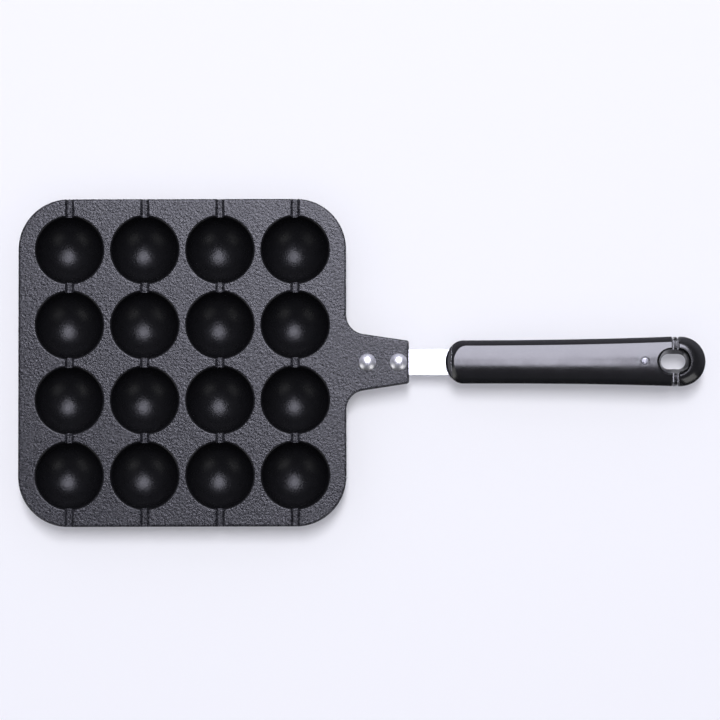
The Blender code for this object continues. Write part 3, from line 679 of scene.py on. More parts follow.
def cup_profile():
    """The outside of one well: a fillet under the plate, the bowl and the flat foot."""
    radius = WELL_SPHERE_RADIUS + CUP_WALL
    center_height = PLATE_BOTTOM - CUP_FILLET
    drop = WELL_SPHERE_HEIGHT - center_height
    center_radius = math.sqrt((radius + CUP_FILLET) ** 2 - drop ** 2)
    meet_angle = math.asin(center_radius / (radius + CUP_FILLET))
    foot_angle = math.asin((FOOT_RADIUS + FOOT_EDGE_ROUND) / radius)
    inside_plate = PLATE_BOTTOM + PLATE_THICKNESS / 2
    profile = [(0.0, inside_plate), (center_radius, inside_plate)]
    profile += arc((center_radius, center_height), CUP_FILLET, 90,
                   270 - math.degrees(meet_angle), FILLET_STEPS)
    bowl = sphere_arc(radius, meet_angle, foot_angle, CUP_STEPS)
    foot_corner = (FOOT_RADIUS + FOOT_EDGE_ROUND / 2, 0.0)
    edge = fillet(bowl[-1], foot_corner, (0.0, 0.0), FOOT_EDGE_ROUND, FILLET_STEPS)
    return profile + bowl[1:] + edge + [(0.0, 0.0)]


def well_profile():
    """The inside of a well, from above the plate down to its bottom."""
    rim_height = PLATE_TOP - WELL_RIM_ROUND
    rim_angle = math.acos((WELL_SPHERE_HEIGHT - rim_height) / WELL_SPHERE_RADIUS)
    above = PLATE_TOP + OVERRUN
    profile = [(0.0, above), (WELL_RIM_RADIUS, above)]
    profile += arc((WELL_RIM_RADIUS, rim_height), WELL_RIM_ROUND, 90, 180, RIM_STEPS)
    profile += sphere_arc(WELL_SPHERE_RADIUS, rim_angle, 0.0, BOWL_STEPS)[1:]
    return profile


def channel_section(x):
    """A channel across its length: a rounded floor, sloping sides and rounded lips."""
    floor = PLATE_TOP - CHANNEL_DEPTH
    foot = (CHANNEL_FLOOR_WIDTH / 2, floor)
    lip = (CHANNEL_WIDTH / 2, PLATE_TOP)
    half = fillet((0.0, floor), foot, lip, CHANNEL_FLOOR_ROUND, EDGE_STEPS)
    half += fillet(foot, lip, (PLATE_HALF, PLATE_TOP), CHANNEL_LIP_ROUND, EDGE_STEPS)
    half.append((half[-1][0], PLATE_TOP + OVERRUN))
    return [(x - across, height) for across, height in reversed(half)] + [
        (x + across, height) for across, height in half]


def build_channel(bm, x):
    """One channel along the whole plate."""
    reach = PLATE_HALF + OVERRUN
    loft(bm, [[(across, y, height) for across, height in channel_section(x)]
              for y in (-reach, reach)])


def build_rivet_hole(bm, x):
    """The hole for one rivet's shank."""
    radius = RIVET_SHANK_RADIUS + HOLE_GAP
    low, high = STRAP_BOTTOM - OVERRUN, PLATE_TOP + OVERRUN
    turn(bm, [(0.0, high), (radius, high), (radius, low), (0.0, low)], SMALL_SEGMENTS, (x, 0.0))


def rivet_holes():
    """The tools that cut the holes of both rivets."""
    return [add_piece("hole", lambda bm, place=x: build_rivet_hole(bm, place), PAN_PLACE)
            for x in (INNER_RIVET_X, OUTER_RIVET_X)]


def paint_casting(casting):
    """Give the casting's faces their finishes: top, wells (darkened as painted shade), outside
    and feet.
    """
    centers = well_centers()
    for face in casting.data.polygons:
        place = face.center
        near = min(centers, key=lambda center: math.dist(center, (place.x, place.y)))
        radius = math.dist(near, (place.x, place.y))
        from_center = (place - Vector((*near, WELL_SPHERE_HEIGHT))).length
        on_bowl = abs(from_center - WELL_SPHERE_RADIUS) < PAINT_TOLERANCE
        on_rim = abs(math.dist((radius, place.z), (WELL_RIM_RADIUS, PLATE_TOP - WELL_RIM_ROUND))
                     - WELL_RIM_ROUND) < PAINT_TOLERANCE
        if place.z < PAINT_TOLERANCE:
            face.material_index = 3
        elif on_bowl or (on_rim and radius < WELL_FINISH_EDGE):
            face.material_index = 1
        elif face.normal.z > TOP_FACING:
            face.material_index = 0
        else:
            face.material_index = 2


def make_casting(materials):
    """The plate with its wells, channels and tongue in one piece."""
    casting = add_piece("pan_casting", build_plate, PAN_PLACE)
    tools = [add_piece("pad", build_tongue_pad, PAN_PLACE)]
    for center in well_centers():
        tools.append(add_piece(
            "cup", lambda bm, place=center: turn(bm, cup_profile(), ROUND_SEGMENTS, place),
            PAN_PLACE))
    combine(casting, tools, "UNION")
    tools = rivet_holes()
    for center in well_centers():
        tools.append(add_piece(
            "well", lambda bm, place=center: turn(bm, well_profile(), ROUND_SEGMENTS, place),
            PAN_PLACE))
    for column in range(WELLS_PER_SIDE):
        x = column * WELL_PITCH - WELL_SPAN / 2
        tools.append(add_piece("channel", lambda bm, place=x: build_channel(bm, place),
                               PAN_PLACE))
    combine(casting, tools, "DIFFERENCE")
    finish_piece(casting, materials, ["pan_body"])
    paint_casting(casting)
    return casting


# Rivets

def dome(radius, base, rise):
    """Points over a dome, from its top on the axis out to its edge."""
    points = []
    for index in range(DOME_STEPS + 1):
        angle = math.pi / 2 * index / DOME_STEPS
        points.append((radius * math.sin(angle), base + rise * math.cos(angle)))
    return points


def rivet_profile():
    """A rivet: head like a cap of a ball with a thin land, shank and formed tail."""
    crown = RIVET_HEAD_HEIGHT - RIVET_HEAD_LAND
    ball = (RIVET_HEAD_RADIUS ** 2 + crown ** 2) / (2 * crown)
    profile = []
    for index in range(DOME_STEPS + 1):
        angle = math.asin(RIVET_HEAD_RADIUS / ball) * index / DOME_STEPS
        profile.append((ball * math.sin(angle),
                        PLATE_TOP + RIVET_HEAD_HEIGHT - ball * (1 - math.cos(angle))))
    profile += [(RIVET_HEAD_RADIUS, PLATE_TOP), (RIVET_SHANK_RADIUS, PLATE_TOP),
                (RIVET_SHANK_RADIUS, STRAP_BOTTOM)]
    return profile + dome(RIVET_TAIL_RADIUS, STRAP_BOTTOM, -RIVET_TAIL_HEIGHT)[::-1]


def make_rivet(name, x, material, node):
    """One rivet at its place along the tongue."""
    place = PAN_PLACE @ Matrix.Translation((x, 0.0, 0.0))
    rivet = add_piece(name, lambda bm: turn(bm, rivet_profile(), ROUND_SEGMENTS), place)
    return finish_piece(rivet, [material], [node], sharp_degrees=60.0)


# Strap

def build_strap(bm):
    """The strap with rounded long edges and a soft bend where it leaves the tongue."""
    half_width, half_thickness = STRAP_WIDTH / 2, STRAP_THICKNESS / 2
    corners = rectangle((-half_width, -half_thickness), (half_width, half_thickness))
    section = rounded(corners, STRAP_EDGE_ROUND, EDGE_STEPS)
    bend = Vector((BEND_X, 0.0, STRAP_HEIGHT))
    along = Vector((math.cos(HANDLE_PITCH), 0.0, math.sin(HANDLE_PITCH)))
    stations = [(Vector((TONGUE_END - STRAP_OVERLAP, 0.0, STRAP_HEIGHT)), 0.0)]
    for index in range(EDGE_STEPS + 1):
        share = index / EDGE_STEPS
        offset = (share - 0.5) * STRAP_BEND_REACH
        way = along if offset > 0 else Vector((1.0, 0.0, 0.0))
        stations.append((bend + offset * way, HANDLE_PITCH * share))
    stations.append((bend + TANG_END * along, HANDLE_PITCH))
    rings = []
    for center, tilt in stations:
        up = Vector((-math.sin(tilt), 0.0, math.cos(tilt)))
        rings.append([center + Vector((0.0, across, 0.0)) + height * up
                      for across, height in section])
    loft(bm, rings)


def make_strap(material):
    """The steel strap with its holes."""
    strap = add_piece("strap_bar", build_strap, PAN_PLACE)
    tools = rivet_holes() + [add_piece("hole", build_screw_hole, HANDLE_PLACE)]
    combine(strap, tools, "DIFFERENCE")
    return finish_piece(strap, [material], ["handle_strap"])


# Collar

def nose_x(y):
    """The handle's rounded front in plan."""
    return NOSE_TIP + GRIP_NOSE_LENGTH * (1 - math.sqrt(1 - (2 * y / GRIP_FRONT_WIDTH) ** 2))


def seam_x(y):
    """The curved front of the grip, behind the collar, in plan."""
    return GRIP_START + COLLAR_SAG * (y / COLLAR_HALF) ** 2


def collar_outline(inset):
    """The collar in plan: the handle's rounded front, moved back by an inset, and its back."""
    half = COLLAR_HALF - inset / 2
    steps = 4 * EDGE_STEPS
    back = [(seam_x(half * (2 * index / steps - 1)) - FIT_GAP / 2, half * (2 * index / steps - 1))
            for index in range(steps + 1)]
    front = [(min(nose_x(y) + inset, x - COLLAR_TIP), y) for x, y in reversed(back)]
    return front + back


def build_collar(bm):
    """The collar with rounded upper and lower edges."""
    half = COLLAR_HEIGHT / 2
    levels = edge_levels(-half, half, COLLAR_EDGE_ROUND, COLLAR_EDGE_ROUND, EDGE_STEPS)
    loft(bm, [[(x, y, height) for x, y in collar_outline(inset)] for height, inset in levels])


def build_tang_slot(bm):
    """The pocket in the collar and the grip that the tang fills."""
    half_width = STRAP_WIDTH / 2 + FIT_GAP / 2
    half_height = STRAP_THICKNESS / 2 + FIT_GAP / 2
    corners = rectangle((-half_width, -half_height), (half_width, half_height))
    section = rounded(corners, STRAP_EDGE_ROUND, EDGE_STEPS)
    loft(bm, [[(x, across, height) for across, height in section]
              for x in (NOSE_TIP - OVERRUN, TANG_END + FIT_GAP)])


def make_collar(material):
    """The black ring round the strap at the handle's nose."""
    collar = add_piece("nose_collar", build_collar, HANDLE_PLACE)
    combine(collar, [add_piece("slot", build_tang_slot, HANDLE_PLACE)], "DIFFERENCE")
    return finish_piece(collar, [material], ["front_collar"])


# Grip

def body_half_width(x):
    """Half width of the grip behind its nose."""
    swell = (max(0.0, x - GRIP_START) / GRIP_LENGTH) ** GRIP_SWELL_POWER
    return (GRIP_FRONT_WIDTH + (GRIP_REAR_WIDTH - GRIP_FRONT_WIDTH) * swell) / 2


def grip_stations(tip, length):
    """Places along one side of the grip, with the share of the full width at each."""
    places = []
    for index in range(NOSE_STATIONS + 1):
        angle = math.pi / 2 * index / NOSE_STATIONS
        places.append((tip + length * (1 - math.cos(angle)), math.sin(angle)))
    start = tip + length
    end = GRIP_END - GRIP_END_ROUND
    places += [(start + (end - start) * index / GRIP_STATIONS, 1.0)
               for index in range(1, GRIP_STATIONS + 1)]
    return places + [(GRIP_END - share * GRIP_END_ROUND, 1.0) for share in END_ROUND_SHARES]


def grip_side(out, share):
    """One side of the grip in plan, and how far its rear edge is drawn in at each point.

    out goes from 0 at the facet's edge to 1 at the widest outline, and share narrows that.
    """
    tip = GRIP_FACET_TIP + (NOSE_TIP - GRIP_FACET_TIP) * out
    length = GRIP_FACET_NOSE_LENGTH + (GRIP_NOSE_LENGTH - GRIP_FACET_NOSE_LENGTH) * out
    if share < 1:
        undercut = GRIP_NOSE_LENGTH * GRIP_NOSE_UNDERCUT_SHARE * (1 - share)
        tip += undercut
        length -= undercut
    side = []
    for x, part in grip_stations(tip, length):
        drawn = drawn_in(GRIP_END - x, GRIP_END_ROUND)
        half = body_half_width(x) - GRIP_FACET_INSET * (1 - out) - drawn
        side.append((x, half * part * share, drawn))
    return side


def crown_height(x, y):
    """Height of the grip's crowned top."""
    return GRIP_TOP - GRIP_CROWN * (y / (body_half_width(x) - GRIP_FACET_INSET)) ** 2


def flank_levels():
    """Levels from the facet's edge round to the underside, as (out, share, height)."""
    half = GRIP_FRONT_WIDTH / 2
    facet_half = half - GRIP_FACET_INSET
    facet_height = GRIP_TOP - GRIP_CROWN
    depth = GRIP_WIDEST_HEIGHT + GRIP_TOP
    corners = [(facet_half, facet_height)]
    corners += [(facet_half + GRIP_FACET_INSET * out, facet_height - GRIP_SLOPE_DROP * down)
                for out, down in SLOPE_SHARES]
    corners += [(half * out, GRIP_WIDEST_HEIGHT - depth * down)
                for out, down in UNDERSIDE_SHARES]
    levels = []
    for point in smooth_path(corners, EDGE_STEPS)[1:]:
        if point.y > GRIP_WIDEST_HEIGHT:
            out = min(1.0, (point.x - facet_half) / GRIP_FACET_INSET)
            levels.append((out, 1.0, point.y))
        else:
            levels.append((1.0, min(1.0, point.x / half), point.y))
    return levels


def grip_rows():
    """The grip's closed rows of points, from the middle of its top round to its underside."""
    facet = grip_side(0.0, 1.0)
    facet_height = GRIP_TOP - GRIP_CROWN
    rows = []
    for share in CROWN_ROW_SHARES:
        rows.append([(x, y * share, crown_height(x, y * share) - drawn)
                     for x, y, drawn in facet])
    rows.append([(x, y, crown_height(x, y) - drawn - GRIP_FACET_EASE) for x, y, drawn in facet])
    edge_heights = [height for x, y, height in rows[-1]]
    for out, share, height in flank_levels():
        row = []
        down = (facet_height - height) / GRIP_SLOPE_DROP
        for (x, y, drawn), top in zip(grip_side(out, share), edge_heights):
            lifted = top + (GRIP_WIDEST_HEIGHT - top) * down if down < 1 else height
            row.append((x, y, lifted * (1 - drawn / GRIP_TOP) if down >= 1 else lifted))
        rows.append(row)
    return [row + [(x, -y, height) for x, y, height in reversed(row[1:])] for row in rows]


def build_grip(bm):
    """The grip's outer shape, closed along the middle of its top and its underside."""
    loops = skin(bm, grip_rows())
    for loop in (loops[0], loops[-1]):
        last = len(loop)
        bm.faces.new((loop[0], loop[1], loop[last - 1]))
        for index in range(1, last // 2):
            bm.faces.new((loop[index], loop[index + 1], loop[last - index - 1],
                          loop[last - index]))


def build_seam_cut(bm):
    """What is cut from the grip's nose to make room for the collar."""
    steps = 4 * EDGE_STEPS
    reach = COLLAR_HALF + FIT_GAP
    outline = [(seam_x(reach * (1 - 2 * index / steps)), reach * (1 - 2 * index / steps))
               for index in range(steps + 1)]
    outline += [(NOSE_TIP - OVERRUN, -reach), (NOSE_TIP - OVERRUN, reach)]
    height = GRIP_TOP + OVERRUN
    loft(bm, [[(x, y, level) for x, y in outline] for level in (-height, height)])


def hole_outline(length, width):
    """A slot in plan about the hang hole's middle, with round ends."""
    reach = (length - width) / 2
    points = arc((HOLE_CENTER + reach, 0.0), width / 2, -90, 90, HOLE_STEPS)
    points += arc((HOLE_CENTER - reach, 0.0), width / 2, 90, 270, HOLE_STEPS)
    return points


def build_hang_hole(bm, rim_height):
    """The hang hole: narrowest half way through, with a chamfer at each mouth."""
    upper = [(0.0, WAIST_LENGTH, WAIST_WIDTH)]
    for inset in (HOLE_CHAMFER, -OVERRUN):
        upper.append((rim_height - inset, HOLE_LENGTH - 2 * inset, HOLE_WIDTH - 2 * inset))
    levels = [(-height, length, width) for height, length, width in reversed(upper[1:])] + upper
    loft(bm, [[(x, y, height) for x, y in hole_outline(length, width)]
              for height, length, width in levels])


def build_screw_hole(bm):
    """The hole for the screw's shank."""
    radius = SCREW_SHANK_RADIUS + HOLE_GAP
    reach = GRIP_THICKNESS / 2 + OVERRUN
    profile = [(0.0, reach), (radius, reach), (radius, -reach), (0.0, -reach)]
    turn(bm, profile, SMALL_SEGMENTS, (SCREW_X, 0.0))


def build_screw_recess(bm):
    """The round recess for the screw's head, with a rounded mouth."""
    radius = SCREW_HEAD_RADIUS + SCREW_RECESS_MARGIN
    low = SCREW_HEAD_BASE - FIT_GAP
    flare = GRIP_END_ROUND / 2
    mouth = (radius + flare, GRIP_TOP - flare)
    profile = [(0.0, GRIP_TOP + OVERRUN), (radius + flare, GRIP_TOP + OVERRUN)]
    profile += arc(mouth, flare, 90, 180, EDGE_STEPS)
    profile += [(radius, low), (0.0, low)]
    turn(bm, profile, SMALL_SEGMENTS, (SCREW_X, 0.0))


def hexagon(across_flats):
    """A hexagon in plan about the screw's axis."""
    return arc((SCREW_X, 0.0), across_flats / 2 / math.cos(math.pi / 6), 0, 300, 5)


def build_nut_pocket(bm):
    """The hexagonal pocket under the grip."""
    outline = hexagon(NUT_ACROSS_FLATS + 2 * FIT_GAP)
    levels = (-GRIP_THICKNESS / 2 - OVERRUN, NUT_TOP + FIT_GAP)
    loft(bm, [[(x, y, height) for x, y in outline] for height in levels])


def build_bar(bm, start, end, low, high, radius):
    """A bar along the handle whose section is a rounded rectangle, with rounded ends."""
    rings = []
    for index in range(EDGE_STEPS):
        angle = math.pi / 2 * index / EDGE_STEPS
        inset = radius / 2 * (1 - math.sin(angle))
        x = start + radius / 2 * (1 - math.cos(angle))
        corners = rectangle((low[0] + inset, low[1] + inset), (high[0] - inset, high[1] - inset))
        rings.append((x, rounded(corners, radius, EDGE_STEPS)))
    rings += [(start + end - x, outline) for x, outline in reversed(rings)]
    loft(bm, [[(x, across, height) for across, height in outline] for x, outline in rings])


def build_tenon(bm, side, gap):
    """A tenon of the loop in one of the grip's two arms, or its socket."""
    half_width = TENON_WIDTH / 2 + gap
    half_height = TENON_HEIGHT / 2 + gap
    y = side * ARM_CENTER
    build_bar(bm, GRIP_END - TENON_LENGTH - gap, HOLE_CENTER + gap,
              (y - half_width, -half_height), (y + half_width, half_height), NECK_ROUND)


def make_grip(material):
    """The moulded grip with its hole, slot, recess, nut pocket and sockets."""
    grip = add_piece("grip_moulding", build_grip, HANDLE_PLACE)
    builds = [build_seam_cut, build_tang_slot, build_screw_hole, build_screw_recess,
              build_nut_pocket, lambda bm: build_hang_hole(bm, GRIP_TOP - HOLE_RIM_DROP)]
    for side in (-1, 1):
        builds.append(lambda bm, sign=side: build_tenon(bm, sign, HOLE_GAP))
    combine(grip, [add_piece("tool", build, HANDLE_PLACE) for build in builds], "DIFFERENCE")
    return finish_piece(grip, [material], ["handle_grip"], sharp_degrees=25.0)


# Loop

def point_along(outline, share):
    """The point at a share of the length of an open outline."""
    lengths = [math.dist(start, end) for start, end in zip(outline, outline[1:])]
    left = share * sum(lengths)
    for start, end, length in zip(outline, outline[1:], lengths):
        if left <= length:
            return Vector(start).lerp(Vector(end), left / length)
        left -= length
    return Vector(outline[-1])


def loop_edges():
    """The loop's inner and outer edges in plan, from one arm round to the other."""
    fine_steps = 2 * LOOP_STATIONS
    inner_angle = math.degrees(math.acos((LOOP_START - LOOP_INNER_CENTER) / HOLE_RADIUS))
    inner = arc((LOOP_INNER_CENTER, 0.0), HOLE_RADIUS, -inner_angle, inner_angle, fine_steps)
    outer = [(LOOP_START, -GRIP_REAR_HALF)]
    outer += arc((LOOP_OUTER_CENTER, 0.0), GRIP_REAR_HALF, -90, 90, fine_steps)
    outer += [(LOOP_START, GRIP_REAR_HALF)]
    return inner, outer


def build_loop(bm):
    """The C-shaped end, swept round the back of the hang hole, before the hole is cut."""
    inner_edge, outer_edge = loop_edges()
    length = math.pi * (HOLE_RADIUS + GRIP_REAR_HALF) / 2
    ends = [LOOP_END_ROUND * share / length for share in LOOP_END_SHARES]
    body = [ends[-1] + (1 - 2 * ends[-1]) * index / LOOP_STATIONS
            for index in range(1, LOOP_STATIONS)]
    shares = ends + body + [1 - share for share in reversed(ends)]
    rings = []
    for share in shares:
        inner = point_along(inner_edge, share)
        outer = point_along(outer_edge, share)
        drawn = drawn_in(min(share, 1 - share) * length, LOOP_END_ROUND)
        way = (outer - inner).normalized()
        section = loop_section((outer - inner).length - drawn, LOOP_THICKNESS / 2 - drawn)
        rings.append([(*(inner + across * way), height) for across, height in section])
    loft(bm, rings)


def loop_section(width, half):
    """The loop across: from inside the hang hole over a crest down to its outer wall."""
    upper = [(-LOOP_REACH, half)]
    for index in range(LOOP_SECTION_STEPS + 1):
        out = index / LOOP_SECTION_STEPS
        upper.append((width * (LOOP_CREST_SHARE + (1 - LOOP_CREST_SHARE) * out),
                      half - LOOP_FALL * out ** LOOP_FALL_POWER))
    upper[-2:] = fillet(upper[-2], upper[-1], (width, 0.0), LOOP_RIM_ROUND, EDGE_STEPS)
    return upper + [(across, -height) for across, height in reversed(upper)]


def build_neck(bm, side):
    """The slim part of one arm, from the grip to the loop."""
    half_height = LOOP_THICKNESS / 2 - NECK_DEPTH
    low, high = sorted((side * (HOLE_RADIUS - LOOP_REACH), side * (GRIP_REAR_HALF - NECK_DEPTH)))
    build_bar(bm, GRIP_END + HOLE_GAP, LOOP_START + LOOP_END_ROUND, (low, -half_height),
              (high, half_height), NECK_ROUND)


def rib_section(side, inset):
    """A rib of the bead across the arm: flat near the hang hole, falling to the outside."""
    reach = GRIP_REAR_HALF - HOLE_RADIUS - inset
    half = LOOP_THICKNESS / 2 - BEAD_DROP - inset
    points = [(side * (HOLE_RADIUS - LOOP_REACH), -half)]
    steps = 2 * LOOP_SECTION_STEPS
    for index in range(steps + 1):
        angle = math.pi * (index / steps - 0.5)
        across = reach * abs(math.cos(angle)) ** (2 / BEAD_SECTION_POWER)
        height = half * abs(math.sin(angle)) ** (2 / BEAD_SECTION_POWER)
        points.append((side * (HOLE_RADIUS + across), math.copysign(height, angle)))
    return points + [(side * (HOLE_RADIUS - LOOP_REACH), half)]


def build_rib(bm, side, start, end):
    """One rib of the bead, with rounded edges."""
    stations = ((start, BEAD_ROUND), (start + BEAD_ROUND, 0.0), (end - BEAD_ROUND, 0.0),
                (end, BEAD_ROUND))
    loft(bm, [[(x, across, height) for across, height in rib_section(side, inset)]
              for x, inset in stations])


def make_loop(material):
    """The C-shaped end piece with the neck, the ribbed bead and the tenon of each arm."""
    loop = add_piece("end_loop", build_loop, HANDLE_PLACE)
    rib_pitch = BEAD_LENGTH / (BEAD_RIBS - 1 + BEAD_RIB_SHARE)
    half = LOOP_THICKNESS / 2
    builds = []
    for side in (-1, 1):
        builds.append(lambda bm, sign=side: build_neck(bm, sign))
        for rib in range(BEAD_RIBS):
            start = HOLE_CENTER + rib * rib_pitch
            end = start + rib_pitch * BEAD_RIB_SHARE
            builds.append(lambda bm, sign=side, x=start, to=end: build_rib(bm, sign, x, to))
        builds.append(lambda bm, sign=side: build_tenon(bm, sign, 0.0))
    combine(loop, [add_piece("arm", build, HANDLE_PLACE) for build in builds], "UNION")
    hole = add_piece("hole", lambda bm: build_hang_hole(bm, half), HANDLE_PLACE)
    combine(loop, [hole], "DIFFERENCE")
    return finish_piece(loop, [material], ["hanging_loop"])


# Screw and nut

def screw_profile():
    """The screw: a domed head with a rounded edge, and its shank."""
    profile = dome(SCREW_HEAD_RADIUS, SCREW_HEAD_TOP - SCREW_HEAD_DOME, SCREW_HEAD_DOME)
    return profile + [(SCREW_HEAD_RADIUS, SCREW_HEAD_BASE), (SCREW_SHANK_RADIUS, SCREW_HEAD_BASE),
                      (SCREW_SHANK_RADIUS, NUT_BOTTOM), (0.0, NUT_BOTTOM)]


def build_screw_cross(bm):
    """The cross recess, narrower at its bottom."""
    heights = (SCREW_HEAD_TOP - SCREW_SLOT_DEPTH, SCREW_HEAD_TOP + SCREW_SLOT_DEPTH)
    rings = []
    for height, share in zip(heights, SCREW_SLOT_SHARES):
        length = SCREW_SLOT_LENGTH / 2 * share
        width = SCREW_SLOT_WIDTH / 2 * share
        outline = []
        for quarter in range(4):
            turned = Matrix.Rotation(math.pi / 2 * quarter + math.pi / 4, 2)
            outline += [turned @ Vector(point) for point in
                        ((length, -width), (length, width), (width, width))]
        rings.append([(SCREW_X + point.x, point.y, height) for point in outline])
    loft(bm, rings)


def make_screw(material):
    """The silver screw with its cross recess."""
    screw = add_piece("cross_screw", lambda bm: turn(bm, screw_profile(), SMALL_SEGMENTS,
                                                     (SCREW_X, 0.0)), HANDLE_PLACE)
    combine(screw, [add_piece("cross", build_screw_cross, HANDLE_PLACE)], "DIFFERENCE")
    return finish_piece(screw, [material], ["grip_screw"])


def build_nut(bm):
    """The hexagonal nut, with its corners turned down at both faces."""
    levels = ((NUT_BOTTOM, NUT_CHAMFER), (NUT_BOTTOM + NUT_CHAMFER, 0.0),
              (NUT_TOP - NUT_CHAMFER, 0.0), (NUT_TOP, NUT_CHAMFER))
    loft(bm, [[(x, y, height) for x, y in hexagon(NUT_ACROSS_FLATS - 2 * inset)]
              for height, inset in levels])


def make_nut(material):
    """The nut in its pocket under the grip."""
    nut = add_piece("hex_nut", build_nut, HANDLE_PLACE)
    combine(nut, [add_piece("hole", build_screw_hole, HANDLE_PLACE)], "DIFFERENCE")
    return finish_piece(nut, [material], ["screw_nut"], sharp_degrees=20.0)


# Floor, light and camera

BACKDROP = (0.925, 0.925, 0.985)
FLOOR_COLOR = (0.885, 0.885, 0.955)
FLOOR_GLOW = 0.25
FLOOR_RADIUS = 6.0
FLOOR_DROP = 0.0001
FLOOR_FADE_START = 0.9
FLOOR_FADE_END = 2.6
FLOOR_SEGMENTS = 96
FLOOR_ROUGHNESS = 0.9
FLOOR_SPECULAR = 0.1

CAMERA_PLACE = (-0.0062, -0.0385, 1.3)
CAMERA_TURN = tuple(math.radians(angle) for angle in (1.777, -0.221, -0.140))
CAMERA_SENSOR = 36.0
CAMERA_LENS = 114.75

KEY_PLACE = (0.10, 0.73, 1.6)
KEY_SIZE = 1.24
KEY_RADIANCE = 7.9
KEY_COLOR = (0.96, 0.955, 1.12)
LOWER_KEY_PLACE = (0.16, 0.0, 1.8)
LOWER_KEY_SIZE = 0.34
SHADOW_PLACE = (0.0, 0.77, 2.6)
SHADOW_SIZE = (0.45, 1.17)
SHADOW_LEVEL = 0.71
SKY_PLACE = (0.0, 0.0, 4.5)
SKY_SIZE = 12.0
SKY_RADIANCE = 0.3
GLINT_PLACES = ((-1.04, -0.78, 0.52), (0.83, -0.92, 0.66))
GLINT_SIZE = 0.75
GLINT_RADIANCE = 1.35

ROOM_FRONT = (0.04, 0.04, 0.045)
ROOM_BACK = (0.5, 0.5, 0.6)
ROOM_CEILING = (0.12, 0.12, 0.145)
ROOM_BACK_SPAN = (-0.6, 0.6)
ROOM_CEILING_SPAN = (0.3, 0.7)


def make_floor():
    """A plain pale floor that turns into the backdrop far from the pan."""
    def build(bm):
        outline = arc((0.0, 0.0), FLOOR_RADIUS, 0, 360, FLOOR_SEGMENTS)[1:]
        bm.faces.new([bm.verts.new((x, y, -FLOOR_DROP)) for x, y in outline])

    floor = add_piece("floor", build, Matrix.Identity(4))
    if floor.data.polygons[0].normal.z < 0:
        floor.data.flip_normals()
    material = bpy.data.materials.new("floor_paper")
    material.use_nodes = True
    tree = material.node_tree
    shader = tree.nodes["Principled BSDF"]
    shader.inputs["Base Color"].default_value = (*FLOOR_COLOR, 1.0)
    shader.inputs["Roughness"].default_value = FLOOR_ROUGHNESS
    shader.inputs["Specular IOR Level"].default_value = FLOOR_SPECULAR
    place = add_node(tree, "ShaderNodeNewGeometry")
    distance = add_node(tree, "ShaderNodeVectorMath", {0: place.outputs["Position"]},
                        operation="LENGTH").outputs["Value"]
    far = map_range(tree, distance, FLOOR_FADE_START, FLOOR_FADE_END, FLOOR_GLOW, 1.0)
    path = add_node(tree, "ShaderNodeLightPath")
    glow = add_node(tree, "ShaderNodeEmission", {"Color": (*BACKDROP, 1.0), "Strength": 1.0})
    fade = add_node(tree, "ShaderNodeMixShader")
    tree.links.new(math_node(tree, "MULTIPLY", far, path.outputs["Is Camera Ray"]),
                   fade.inputs[0])
    tree.links.new(shader.outputs[0], fade.inputs[1])
    tree.links.new(glow.outputs[0], fade.inputs[2])
    clear = add_node(tree, "ShaderNodeBsdfTransparent")
    below = add_node(tree, "ShaderNodeMixShader")
    hidden = math_node(tree, "MULTIPLY", place.outputs["Backfacing"],
                       path.outputs["Is Camera Ray"])
    tree.links.new(hidden, below.inputs[0])
    tree.links.new(fade.outputs[0], below.inputs[1])
    tree.links.new(clear.outputs[0], below.inputs[2])
    tree.links.new(below.outputs[0], tree.nodes["Material Output"].inputs["Surface"])
    floor.data.materials.append(material)


def make_world():
    """A dim room that is paler behind the pan. The camera sees the backdrop's colour."""
    world = bpy.data.worlds.new("studio")
    bpy.context.scene.world = world
    world.use_nodes = True
    tree = world.node_tree
    tree.nodes.clear()
    way = add_node(tree, "ShaderNodeTexCoord").outputs["Generated"]
    parts = add_node(tree, "ShaderNodeSeparateXYZ", {"Vector": way}).outputs
    behind = map_range(tree, parts["Y"], *ROOM_BACK_SPAN, 0.0, 1.0)
    walls = mix_color(tree, behind, ROOM_FRONT, ROOM_BACK)
    up = map_range(tree, parts["Z"], *ROOM_CEILING_SPAN, 0.0, 1.0)
    room = mix_color(tree, up, walls, ROOM_CEILING)
    path = add_node(tree, "ShaderNodeLightPath")
    color = mix_color(tree, path.outputs["Is Camera Ray"], room, BACKDROP)
    shader = add_node(tree, "ShaderNodeBackground", {"Color": color, "Strength": 1.0})
    output = add_node(tree, "ShaderNodeOutputWorld")
    tree.links.new(shader.outputs[0], output.inputs["Surface"])


def add_light(name, place, size, radiance, shape="SQUARE", color=(1.0, 1.0, 1.0)):
    """A soft light of a given radiance that faces the middle of the pan."""
    light = bpy.data.lights.new(name, "AREA")
    light.shape = shape
    light.size = size[0]
    area = size[0] ** 2
    if shape == "RECTANGLE":
        light.size_y = size[1]
        area = size[0] * size[1]
    elif shape == "DISK":
        area = math.pi * size[0] ** 2 / 4
    light.energy = radiance * math.pi * area
    light.color = color
    holder = bpy.data.objects.new(name, light)
    bpy.context.scene.collection.objects.link(holder)
    holder.location = place
    holder.rotation_euler = (-Vector(place)).to_track_quat("-Z", "Y").to_euler()
    return holder


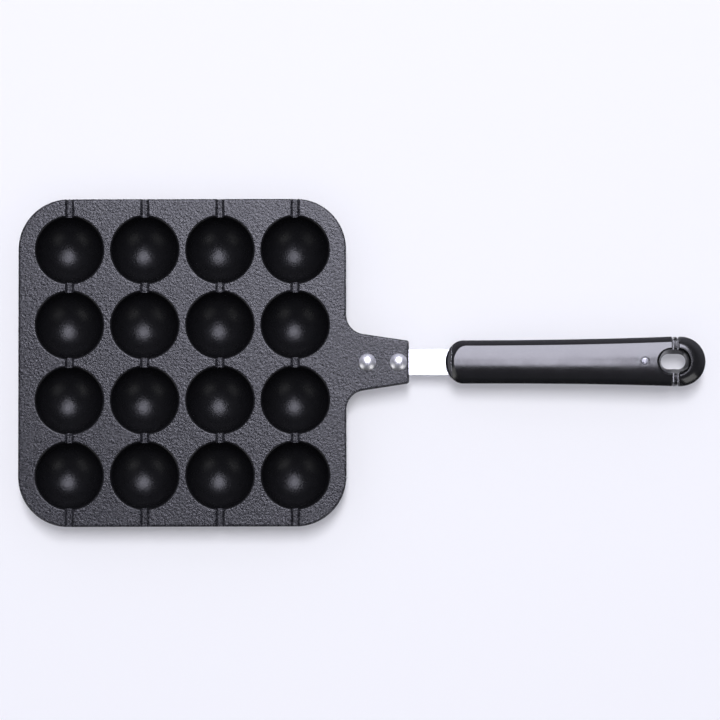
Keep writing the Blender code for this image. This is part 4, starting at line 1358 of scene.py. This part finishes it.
def make_lights():
    """Lights that only glossy faces show, and a light and a sky that only matt faces see."""
    key = add_light("key", KEY_PLACE, (KEY_SIZE,), KEY_RADIANCE, "DISK", KEY_COLOR)
    lower_key = add_light("lower_key", LOWER_KEY_PLACE, (LOWER_KEY_SIZE,), KEY_RADIANCE,
                          "DISK", KEY_COLOR)
    for light in (key, lower_key):
        light.visible_diffuse = False
    sky = add_light("sky", SKY_PLACE, (SKY_SIZE,), SKY_RADIANCE)
    sky.visible_glossy = False
    reach = Vector(SHADOW_PLACE)
    tilt = reach.z / reach.length
    radiance = SHADOW_LEVEL * math.pi * reach.length_squared / (
        SHADOW_SIZE[0] * SHADOW_SIZE[1] * tilt)
    shade = add_light("shade", SHADOW_PLACE, SHADOW_SIZE, radiance, "RECTANGLE")
    shade.visible_glossy = False
    for index, place in enumerate(GLINT_PLACES):
        glint = add_light(f"glint_{index}", place, (GLINT_SIZE,), GLINT_RADIANCE)
        glint.visible_diffuse = False


def make_camera():
    """The camera at the photograph's angle, almost straight above."""
    camera = bpy.data.cameras.new("camera")
    camera.sensor_width = CAMERA_SENSOR
    camera.lens = CAMERA_LENS
    holder = bpy.data.objects.new("camera", camera)
    bpy.context.scene.collection.objects.link(holder)
    holder.location = CAMERA_PLACE
    holder.rotation_euler = CAMERA_TURN
    bpy.context.scene.camera = holder


def main():
    """Dress the pan, and set the stage."""
    make_casting([make_speckled_coating(), make_well_coating_with_painted_shade(), make_outer_coating(),
                  make_foot_finish()])
    aluminium = make_rivet_aluminium()
    make_rivet("rivet_inner", INNER_RIVET_X, aluminium, "inner_rivet")
    make_rivet("rivet_outer", OUTER_RIVET_X, aluminium, "outer_rivet")
    make_strap(make_strap_steel())
    make_collar(make_moulding("collar_plastic", 0.2, (0.004, 0.004, 0.0045),
                              (0.006, 0.006, 0.007), ior=1.3))
    make_grip(make_moulding("grip_plastic", 0.17, (0.004, 0.004, 0.0045),
                            (0.006, 0.006, 0.007), ior=1.65))
    make_loop(make_moulding("loop_plastic", 0.17, (0.004, 0.004, 0.0045),
                            (0.007, 0.007, 0.008), ior=1.65))
    make_screw(make_plated_steel("screw_plating", (0.28, 0.28, 0.30), (0.42, 0.42, 0.44)))
    make_nut(make_plated_steel("nut_plating", (0.40, 0.40, 0.42), (0.56, 0.56, 0.58)))
    make_floor()
    make_world()
    make_lights()
    make_camera()
    bpy.context.scene.view_settings.view_transform = "Standard"


main()
